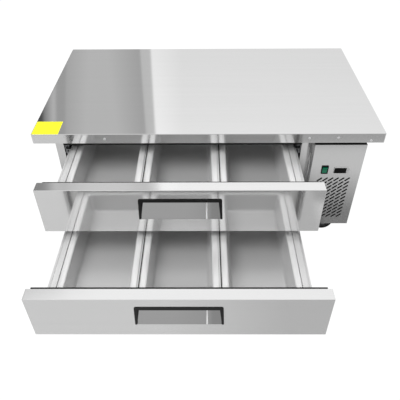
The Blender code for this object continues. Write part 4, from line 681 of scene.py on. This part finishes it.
def pick(kind, test):
    """In edit mode, select the vertices, edges or faces that pass a test, and say how many there were."""
    bpy.ops.mesh.select_mode(type=kind)
    bpy.ops.mesh.select_all(action="DESELECT")
    mesh = bmesh.from_edit_mesh(bpy.context.object.data)
    parts = {"VERT": mesh.verts, "EDGE": mesh.edges, "FACE": mesh.faces}[kind]
    chosen = [part for part in parts if test(part)]
    for part in chosen:
        part.select_set(True)
    mesh.select_flush_mode()
    bmesh.update_edit_mesh(bpy.context.object.data)
    return len(chosen)


def middle(edge):
    return (edge.verts[0].co + edge.verts[1].co) / 2


def edit():
    bpy.ops.object.mode_set(mode="EDIT")


def leave():
    bpy.ops.object.mode_set(mode="OBJECT")


def add_modifier(obj, kind, **settings):
    """Add a modifier, set it up and apply it."""
    choose(obj)
    modifier = obj.modifiers.new(kind.lower(), kind)
    for name, value in settings.items():
        setattr(modifier, name, value)
    bpy.ops.object.modifier_apply(modifier=modifier.name)


def finish_piece(obj, name, material, body, smooth_below=40):
    """Name a modelled piece, put its place into its mesh, shade it, dress it and let it ride on a body."""
    choose(obj)
    bpy.ops.object.transform_apply(location=True, rotation=True, scale=True)
    bpy.ops.object.shade_smooth_by_angle(angle=math.radians(smooth_below))
    obj.name = name
    obj.data.materials.clear()
    obj.data.materials.append(material)
    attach(obj, body)
    return obj


def copy_of(obj, shift=(0, 0, 0)):
    """A copy with its own mesh, moved by a shift."""
    twin = obj.copy()
    twin.data = obj.data.copy()
    twin.data.transform(Matrix.Translation(shift))
    scene.collection.objects.link(twin)
    return twin


print("modelling helpers ready")

# %% [markdown]
# ## The drawn pans
# A food pan is pressed from one flat sheet: the punch draws the well down and leaves a flat rim, whose edge
# is turned down into a lip. It is modelled the same way. Two rounded loops are bridged into the rim, the
# inner one is drawn down ring by ring, the outer one is turned down, and at the end the open sheet gets its
# thickness.

# %% Pan sizes
PAN_RIM = (0.0185, 0.0060)
PAN_BEND = 0.009
PAN_LIP = 0.005
PAN_LIP_BEND = 0.002
PAN_TAPER = 0.009
PAN_FOOT = 0.014
PAN_SHEET = 0.0008
MOUTH_CORNER = 0.011
RIM_CORNER = 0.012
pan_low, pan_high = (Vector(corner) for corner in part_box("upper_pan_1"))
pan_half = ((pan_high.x - pan_low.x) / 2, (pan_high.y - pan_low.y) / 2)
pan_depth = pan_high.z - pan_low.z
pan_centre = Vector(((pan_low.x + pan_high.x) / 2, (pan_low.y + pan_high.y) / 2, pan_high.z))
print("pan:", [round(2000 * half) for half in pan_half], "mm, depth", round(1000 * pan_depth))

# %% [markdown]
# The rim and the mouth of the well are rounded rectangles. A curve could be turned into a mesh, but bevelling
# the corners of a plane gives both loops the same number of points, which is what a bridge needs. A small
# class keeps the size of the loop that is being drawn, so that each new ring is scaled to an exact inset.


# %% A rounded loop of edges
def rounded_loop(half, radius, centre, segments=10):
    """The outline of a rounded rectangle, from a plane whose corners are bevelled."""
    bpy.ops.mesh.primitive_plane_add(size=2, location=centre)
    made = bpy.context.object
    made.scale = (half[0], half[1], 1)
    bpy.ops.object.transform_apply(location=False, rotation=False, scale=True)
    edit()
    bpy.ops.mesh.select_all(action="SELECT")
    bpy.ops.mesh.bevel(offset=radius, segments=segments, affect="VERTICES")
    bpy.ops.mesh.delete(type="ONLY_FACE")
    leave()
    return made


class Drawing:
    """A loop of edges that is drawn on, ring by ring, each a little smaller or larger than the last."""

    def __init__(self, half, centre):
        self.half = list(half)
        self.centre = centre

    def draw(self, inwards, down):
        bpy.ops.mesh.extrude_region_move(TRANSFORM_OT_translate={"value": (0, 0, -down)})
        fresh = [size - inwards for size in self.half]
        ratio = (fresh[0] / self.half[0], fresh[1] / self.half[1], 1)
        bpy.ops.transform.resize(value=ratio, center_override=self.centre)
        self.half = fresh

    def draw_arc(self, radius, start, end, steps):
        """Follow a quarter turn. An angle of 0 runs inwards, and one of 90 degrees runs down."""
        for step in range(steps):
            angles = [math.radians(start + (end - start) * (step + share) / steps) for share in (0, 1)]
            self.draw(radius * (math.sin(angles[1]) - math.sin(angles[0])) * math.copysign(1, end - start),
                      radius * (math.cos(angles[0]) - math.cos(angles[1])) * math.copysign(1, end - start))


print("drawing tools ready: rounded_loop, Drawing")

# %% [markdown]
# The inner loop goes round the bend at the mouth, down the tapered wall and round the foot, as the punch
# drives the sheet. The outer loop goes round the small bend of the lip. A Subdivision Surface could round
# both, but it would pull the flat rim out of true. The sheet gets its one thickness at the end, from
# Solidify.

# %% Model one pan
LIP_RINGS = ((0.5, 0.134), (0.366, 0.366), (0.134, 0.5))
mouth_half = [half - rim for half, rim in zip(pan_half, PAN_RIM, strict=True)]
fold_half = [half - PAN_LIP_BEND for half in pan_half]
mouth = rounded_loop(mouth_half, MOUTH_CORNER, pan_centre)
fold = rounded_loop(fold_half, RIM_CORNER - PAN_LIP_BEND, pan_centre)
choose(fold, mouth)
bpy.ops.object.join()
pan = bpy.context.object
edit()
bpy.ops.mesh.select_all(action="SELECT")
bpy.ops.mesh.bridge_edge_loops()


def beyond_mouth(edge):
    spot = middle(edge)
    inside_x = abs(spot.x) < mouth_half[0] + PAN_RIM[0] / 4
    inside_y = abs(spot.y) < mouth_half[1] + PAN_RIM[1] / 4
    return not (inside_x and inside_y)


pick("EDGE", lambda edge: edge.is_boundary and not beyond_mouth(edge))
well = Drawing(mouth_half, pan_centre)
well.draw_arc(PAN_BEND, 0, 90, 6)
well.draw(PAN_TAPER, pan_depth - PAN_BEND - PAN_FOOT)
well.draw_arc(PAN_FOOT, 90, 0, 6)
bpy.ops.mesh.edge_face_add()
pick("EDGE", lambda edge: edge.is_boundary)
rim_edge = Drawing(fold_half, pan_centre)
for out, down in LIP_RINGS:
    rim_edge.draw(-PAN_LIP_BEND * out, PAN_LIP_BEND * down)
rim_edge.draw(0, PAN_LIP - PAN_LIP_BEND)
bpy.ops.mesh.select_all(action="SELECT")
bpy.ops.mesh.normals_make_consistent(inside=False)
leave()
rim_face = max(pan.data.polygons, key=lambda face: face.center.z)
if rim_face.normal.z < 0:
    pan.data.flip_normals()
add_modifier(pan, "SOLIDIFY", thickness=PAN_SHEET, offset=-1, use_even_offset=True)
bpy.ops.object.transform_apply(location=True, rotation=True, scale=True)
print("one pan:", len(pan.data.polygons), "faces")

# %% [markdown]
# All six pans come from one press, so one is modelled and copied. Each copy takes the place of the model's
# plainer pan and rides on its drawer.

# %% Six pans
for node in sorted(name for name in nodes if "_pan_" in name and name[-1].isdigit()):
    low, high = (Vector(corner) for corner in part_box(node))
    place = Vector(((low.x + high.x) / 2, (low.y + high.y) / 2, high.z))
    drawn = copy_of(pan, place - pan_centre)
    drawer = node.split("_pan_")[0] + "_drawer"
    finish_piece(drawn, node + "_drawn", pan_steel, drawer)
    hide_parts(node)
bpy.data.objects.remove(pan)

# %% [markdown]
# ## Rivets
# The sheets are joined by blind rivets. A rivet's head is a low dome with a round hole where its pin broke
# off. It starts as a cylinder: a bevel rounds its top edge, and the top face is inset and pushed down into a
# hole. One is modelled, and copies of it are turned to face out of each sheet and joined row by row.

# %% Model one rivet
RIVET_RADIUS = 0.0042
RIVET_HEIGHT = 0.0016
RIVET_HOLE = 0.0013
bpy.ops.mesh.primitive_cylinder_add(vertices=32, radius=RIVET_RADIUS, depth=2 * RIVET_HEIGHT)
rivet = bpy.context.object
edit()
pick("EDGE", lambda edge: min(corner.co.z for corner in edge.verts) > 0)
bpy.ops.mesh.bevel(offset=RIVET_HEIGHT * 0.9, segments=5, affect="EDGES")
pick("FACE", lambda face: face.normal.z > 0.99)
bpy.ops.mesh.inset(thickness=RIVET_RADIUS - RIVET_HEIGHT * 0.9 - RIVET_HOLE)
bpy.ops.mesh.inset(thickness=0.0001)
bpy.ops.mesh.extrude_region_move(TRANSFORM_OT_translate={"value": (0, 0, -RIVET_HEIGHT * 0.7)})
pick("FACE", lambda face: face.normal.z < -0.99)
bpy.ops.mesh.delete(type="FACE")
leave()
print("one rivet:", len(rivet.data.polygons), "faces")

# %% [markdown]
# Four larger rivets sit on the worktop's drop, where the photograph shows them, so their places are written
# down. The side walls and the back panel have a row near each end, worked out from the size of the sheet.

# %% Rows of rivets
DROP_RIVETS = ((-0.449, 0.651), (0.439, 0.653), (0.565, 0.654), (0.708, 0.640))
DROP_RIVET_SIZE = 1.35
WALL_INSET = (0.020, 0.030)
BACK_INSET = (0.012, 0.020)
rivet_metal = moulded("rivet_aluminium", (0.90, 0.90, 0.91), 0.34, 900, 0.00001, Metallic=0.5)


def row_of_rivets(name, spots, outwards, body, size=1.0):
    """Copies of the rivet at spots on one sheet, all facing one way, joined into one piece."""
    facing = Vector(outwards).to_track_quat("Z", "Y").to_matrix().to_4x4()
    copies = []
    for spot in spots:
        twin = copy_of(rivet)
        twin.data.transform(Matrix.Translation(spot) @ facing @ Matrix.Scale(size, 4))
        copies.append(twin)
    choose(*copies)
    bpy.ops.object.join()
    return finish_piece(copies[0], name, rivet_metal, body)


def near_ends(low, high, inset):
    """Two places along a sheet, an inset away from its ends."""
    return low + inset, high - inset


def ends_and_middle(low, high, inset):
    """Three places up a sheet."""
    return low + inset, (low + high) / 2, high - inset


drop_row = [(x, top_low[1], z) for x, z in DROP_RIVETS]
row_of_rivets("drop_rivets", drop_row, (0, -1, 0), "cabinet", size=DROP_RIVET_SIZE)
side_low, side_high = (Vector(corner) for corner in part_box("machine_side_panel"))
side_rows = [(side_high.x, y, z) for y in near_ends(side_low.y, side_high.y, WALL_INSET[0])
             for z in ends_and_middle(side_low.z, side_high.z, WALL_INSET[1])]
row_of_rivets("side_panel_rivets", side_rows, (1, 0, 0), "cabinet")
shell_low, shell_high = (Vector(corner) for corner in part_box("outer_shell"))
shell_rows = [(shell_low.x, y, z) for y in near_ends(shell_low.y, shell_high.y, WALL_INSET[0])
              for z in ends_and_middle(shell_low.z, shell_high.z, WALL_INSET[1])]
row_of_rivets("shell_rivets", shell_rows, (-1, 0, 0), "cabinet")
back_low, back_high = (Vector(corner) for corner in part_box("machine_back_panel"))
back_rows = [(x, back_high.y, z) for x in near_ends(back_low.x, back_high.x, BACK_INSET[0])
             for z in ends_and_middle(back_low.z, back_high.z, BACK_INSET[1])]
row_of_rivets("back_panel_rivets", back_rows, (0, 1, 0), "cabinet")
bpy.data.objects.remove(rivet)
print("rivets:", len(drop_row) + len(side_rows) + len(shell_rows) + len(back_rows))

# %% [markdown]
# ## Rounded plates
# Three small pieces are rounded plates: the controller's lens, the filler beside the machine panel and the
# lip of the lower seal. A cube with a Bevel would round all its edges alike. Here a plane's corners are
# bevelled first, it is extruded to its thickness, and then only its front edge is eased, so that it catches a
# line of light.


# %% Plates
def plate_between(low, high, corner, edge, segments=4):
    """A rounded plate that faces forwards, from its lower left back corner to its upper right front one."""
    size = Vector(high) - Vector(low)
    centre = ((low[0] + high[0]) / 2, max(low[1], high[1]), (low[2] + high[2]) / 2)
    bpy.ops.mesh.primitive_plane_add(size=1, location=centre, rotation=(math.pi / 2, 0, 0))
    made = bpy.context.object
    made.scale = (abs(size.x), abs(size.z), 1)
    bpy.ops.object.transform_apply(location=True, rotation=True, scale=True)
    edit()
    bpy.ops.mesh.select_all(action="SELECT")
    bpy.ops.mesh.bevel(offset=corner, segments=segments, affect="VERTICES")
    bpy.ops.mesh.select_all(action="SELECT")
    bpy.ops.mesh.extrude_region_move(TRANSFORM_OT_translate={"value": (0, -abs(size.y), 0)})
    bpy.ops.mesh.select_all(action="SELECT")
    bpy.ops.mesh.normals_make_consistent(inside=False)
    front = min(low[1], high[1])
    pick("EDGE", lambda line: all(abs(end.co.y - front) < edge / 10 for end in line.verts))
    bpy.ops.mesh.bevel(offset=edge, segments=2, affect="EDGES")
    leave()
    return made


print("helper ready: plate_between")

# %% [markdown]
# A smoked lens covers the display and leaves the two buttons free. It is nearly black and only a little
# glossy, as the photograph shows neither digits nor a clear mirror in it.

# %% The controller's lens
LENS_HALF_HEIGHT = 0.0153
LENS_FROM_LEFT = 0.0008
LENS_FROM_RIGHT = 0.0128
LENS_DEPTHS = (0.0001, 0.0007)
LENS_CORNER = 0.0015
LENS_EDGE = 0.0002
controller_low, controller_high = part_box("controller_bezel")
lens_z = (controller_low[2] + controller_high[2]) / 2
lens_back, lens_front = (controller_low[1] - depth for depth in LENS_DEPTHS)
lens = plate_between((controller_low[0] + LENS_FROM_LEFT, lens_back, lens_z - LENS_HALF_HEIGHT),
                     (controller_high[0] - LENS_FROM_RIGHT, lens_front, lens_z + LENS_HALF_HEIGHT),
                     LENS_CORNER, LENS_EDGE)
smoked = moulded("smoked_lens", (0.003, 0.003, 0.003), 0.20, Specular_IOR_Level=0.12)
finish_piece(lens, "controller_lens", smoked, "cabinet")
print("lens:", len(lens.data.polygons), "faces")

# %% [markdown]
# The filler is the narrow flange that closes the gap between the machine panel's side and the cabinet.
# Without it the camera sees through to the floor, as a black line.

# %% The filler beside the machine panel
FILLER_DEPTHS = (0.0012, 0.0002)
FILLER_GAPS = (0.0004, 0.0002)
FILLER_INSET = 0.003
FILLER_CORNER = 0.001
FILLER_EDGE = 0.0002
filler_back, filler_front = (panel_high[1] + depth for depth in FILLER_DEPTHS)
filler = plate_between((shell_high.x + FILLER_GAPS[0], filler_back, panel_low[2] + FILLER_INSET),
                       (panel_low[0] + FILLER_GAPS[1], filler_front, panel_high[2] - FILLER_INSET),
                       FILLER_CORNER, FILLER_EDGE)
finish_piece(filler, "panel_filler", front_sheet, "cabinet")
print("filler:", len(filler.data.polygons), "faces")

# %% [markdown]
# The lip of the lower seal stands up behind the open drawer's front and shows over it as a black line. It
# belongs to the drawer, so it rides on it.

# %% The seal's lip
LIP_INSETS = (0.0004, 0.0001)
LIP_ROOT = 0.0005
LIP_BELOW_FRONT_TOP = 0.0002
LIP_CORNER = 0.0010
LIP_EDGE = 0.0008
gasket_low, gasket_high = (Vector(corner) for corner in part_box("lower_gasket"))
lip_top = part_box("lower_front_skin")[1][2] - LIP_BELOW_FRONT_TOP
lip = plate_between((gasket_low.x, gasket_high.y - LIP_INSETS[0], gasket_high.z - LIP_ROOT),
                    (gasket_high.x, gasket_low.y + LIP_INSETS[1], lip_top), LIP_CORNER, LIP_EDGE)
finish_piece(lip, "lower_gasket_lip", gasket_rubber, "lower_drawer")
print("lip:", len(lip.data.polygons), "faces")

# %% [markdown]
# ## Flanges of the side rails
# Each side rail of a drawer ends in a flat flange, level with the pans' rims, whose outer edge is turned up
# into a small hem. It is a long plane whose outer edge is extruded round a quarter turn, and then given its
# thickness. A folded sheet is made in the same order, so the hem keeps the sheet's thickness all round the
# fold.

# %% Flanges
FLANGE_SHEET = 0.0008
FLANGE_HEM = 0.0012
FLANGE_INNER = 0.4792
FLANGE_OUTER = 0.5020
FLANGE_ABOVE_RIM = 0.0035
FLANGE_SHORTER = 0.002
HEM_STEPS = ((0, 30), (30, 60), (60, 90))
cabinet_x = (shell_low.x + shell_high.x) / 2
flange_width = FLANGE_OUTER - FLANGE_HEM - FLANGE_INNER


def rail_flange(side, low_y, high_y, z):
    """One flange, its hem turned up on the side that faces away from the pans."""
    middle_x = cabinet_x + side * (FLANGE_INNER + flange_width / 2)
    bpy.ops.mesh.primitive_plane_add(size=1, location=(middle_x, (low_y + high_y) / 2, z))
    made = bpy.context.object
    made.scale = (flange_width, high_y - low_y - FLANGE_SHORTER, 1)
    bpy.ops.object.transform_apply(location=False, rotation=False, scale=True)
    edit()
    pick("EDGE", lambda line: all(end.co.x * side > 0.001 for end in line.verts))
    for before, after in HEM_STEPS:
        start, end = math.radians(before), math.radians(after)
        shift = (side * FLANGE_HEM * (math.sin(end) - math.sin(start)), 0,
                 FLANGE_HEM * (math.cos(start) - math.cos(end)))
        bpy.ops.mesh.extrude_region_move(TRANSFORM_OT_translate={"value": shift})
    bpy.ops.mesh.extrude_region_move(TRANSFORM_OT_translate={"value": (0, 0, FLANGE_HEM)})
    bpy.ops.mesh.select_all(action="SELECT")
    bpy.ops.mesh.normals_make_consistent(inside=False)
    leave()
    if max(made.data.polygons, key=lambda face: face.area).normal.z < 0:
        made.data.flip_normals()
    add_modifier(made, "SOLIDIFY", thickness=FLANGE_SHEET, offset=-1)
    return made


for name in ("upper", "lower"):
    carrier_low, carrier_high = (Vector(corner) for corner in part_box(name + "_pan_carrier"))
    flange_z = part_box(name + "_pan_1")[1][2] + FLANGE_ABOVE_RIM
    for side, side_name in ((-1, "left"), (1, "right")):
        flange = rail_flange(side, carrier_low.y, carrier_high.y, flange_z)
        finish_piece(flange, f"{name}_{side_name}_rail_flange", rail_sheet, name + "_drawer")

# %% [markdown]
# ## Caster wheels
# A caster wheel is a moulded tyre on a moulded hub, with a steel bearing in the middle. Their sizes come
# first: how wide and how large the wheel is, is read from the model, and the rest is usual for a wheel of
# this size.

# %% Wheel sizes
TYRE_INNER = 0.034
TYRE_ROUND = 0.007
TYRE_DISH = 0.0015
HUB_BOSS = 0.015
HUB_DISH = 0.005
HUB_BORE = 0.0068
HUB_ROUND = 0.001
BEARING_RADIUS = 0.0105
BEARING_ROUND = 0.0005
FIT = 0.0002
wheel_low, wheel_high = (Vector(corner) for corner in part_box("front_left_caster_wheel"))
wheel_radius = (wheel_high.z - wheel_low.z) / 2
wheel_width = wheel_high.y - wheel_low.y
print("wheel:", round(2000 * wheel_radius), "mm across and", round(1000 * wheel_width), "mm wide")

# %% [markdown]
# All three pieces start as a cylinder. Its rims are rounded with a bevel, both sides are inset and dished
# ring by ring, and the bore is made by taking out the middle faces and bridging the two loops. A profile
# could be spun round the axle instead, but insets leave the faces in clean rings with no seam to merge.


# %% Model the tyre, the hub and the bearing
def drum(radius, width, edge_round, rings, bore):
    """A short cylinder along Z with rounded rims, side faces that step in ring by ring, and a bore."""
    bpy.ops.mesh.primitive_cylinder_add(vertices=72, radius=radius, depth=width)
    made = bpy.context.object
    edit()
    pick("EDGE", lambda edge: abs(edge.verts[0].co.z - edge.verts[1].co.z) < width / 100)
    bpy.ops.mesh.bevel(offset=edge_round, segments=5, affect="EDGES")
    for side in (1, -1):
        pick("FACE", lambda face: face.normal.z * side > 0.99 and len(face.verts) > 4)
        reach = radius - edge_round
        for ring_radius, depth in (*rings, (bore, 0)):
            bpy.ops.mesh.inset(thickness=reach - ring_radius)
            if depth:
                bpy.ops.transform.translate(value=(0, 0, -side * depth))
            reach = ring_radius
    pick("FACE", lambda face: abs(face.normal.z) > 0.99 and len(face.verts) > 4)
    bpy.ops.mesh.delete(type="FACE")
    pick("EDGE", lambda edge: edge.is_boundary)
    bpy.ops.mesh.bridge_edge_loops()
    bpy.ops.mesh.select_all(action="SELECT")
    bpy.ops.mesh.normals_make_consistent(inside=False)
    leave()
    return made


tyre_rings = [(TYRE_INNER + 0.002, TYRE_DISH)]
hub_rings = [(TYRE_INNER - 0.004, 0), (TYRE_INNER - 0.006, HUB_DISH), (HUB_BOSS + 0.001, 0),
             (HUB_BOSS, -HUB_DISH)]
bearing_rings = [(HUB_BORE + 0.0022, 0), (HUB_BORE + 0.0018, 0.0006), (HUB_BORE + 0.0008, 0)]
hub_width = wheel_width - 2 * TYRE_DISH
tyre = drum(wheel_radius, wheel_width, TYRE_ROUND, tyre_rings, TYRE_INNER)
hub = drum(TYRE_INNER - FIT, hub_width, HUB_ROUND, hub_rings, BEARING_RADIUS + FIT)
bearing = drum(BEARING_RADIUS, hub_width, BEARING_ROUND, bearing_rings, HUB_BORE)
print("tyre, hub, bearing:", [len(each.data.polygons) for each in (tyre, hub, bearing)], "faces")

# %% [markdown]
# Each caster stands turned its own way. The turn could be written down again, but then it could come to
# differ from the model. So the direction of the axle is read from the model's wheel: it is the level
# direction in which that wheel is narrowest.


# %% Four wheels
def axle_direction(node):
    """The level direction in which the model's wheel is narrowest."""
    corners = [vertex.co for vertex in nodes[node].data.vertices]
    widths = []
    for degree in range(180):
        away = Vector((math.cos(math.radians(degree)), math.sin(math.radians(degree)), 0))
        reach = [corner.dot(away) for corner in corners]
        widths.append((max(reach) - min(reach), degree))
    return math.radians(min(widths)[1])


hub_plastic = moulded("hub_plastic", (0.10, 0.10, 0.105), 0.4)
WHEEL_PIECES = ((tyre, "tyre", tyre_rubber, "tyre"), (hub, "hub", hub_plastic, "black_plastic"),
                (bearing, "bearing", zinc, "zinc"))
for node in sorted(name for name in nodes if name.endswith("caster_wheel")):
    low, high = (Vector(corner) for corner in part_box(node))
    along_axle = Matrix.Rotation(axle_direction(node), 4, "Z") @ turn(90, "Y")
    place = Matrix.Translation((low + high) / 2) @ along_axle
    body = node.replace("_caster_wheel", "_wheel")
    for piece, name, material, slot in WHEEL_PIECES:
        twin = copy_of(piece)
        twin.data.transform(place)
        finish_piece(twin, node + "_" + name, material, body)
        if piece is tyre:
            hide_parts(node)
for piece in (tyre, hub, bearing):
    bpy.data.objects.remove(piece)
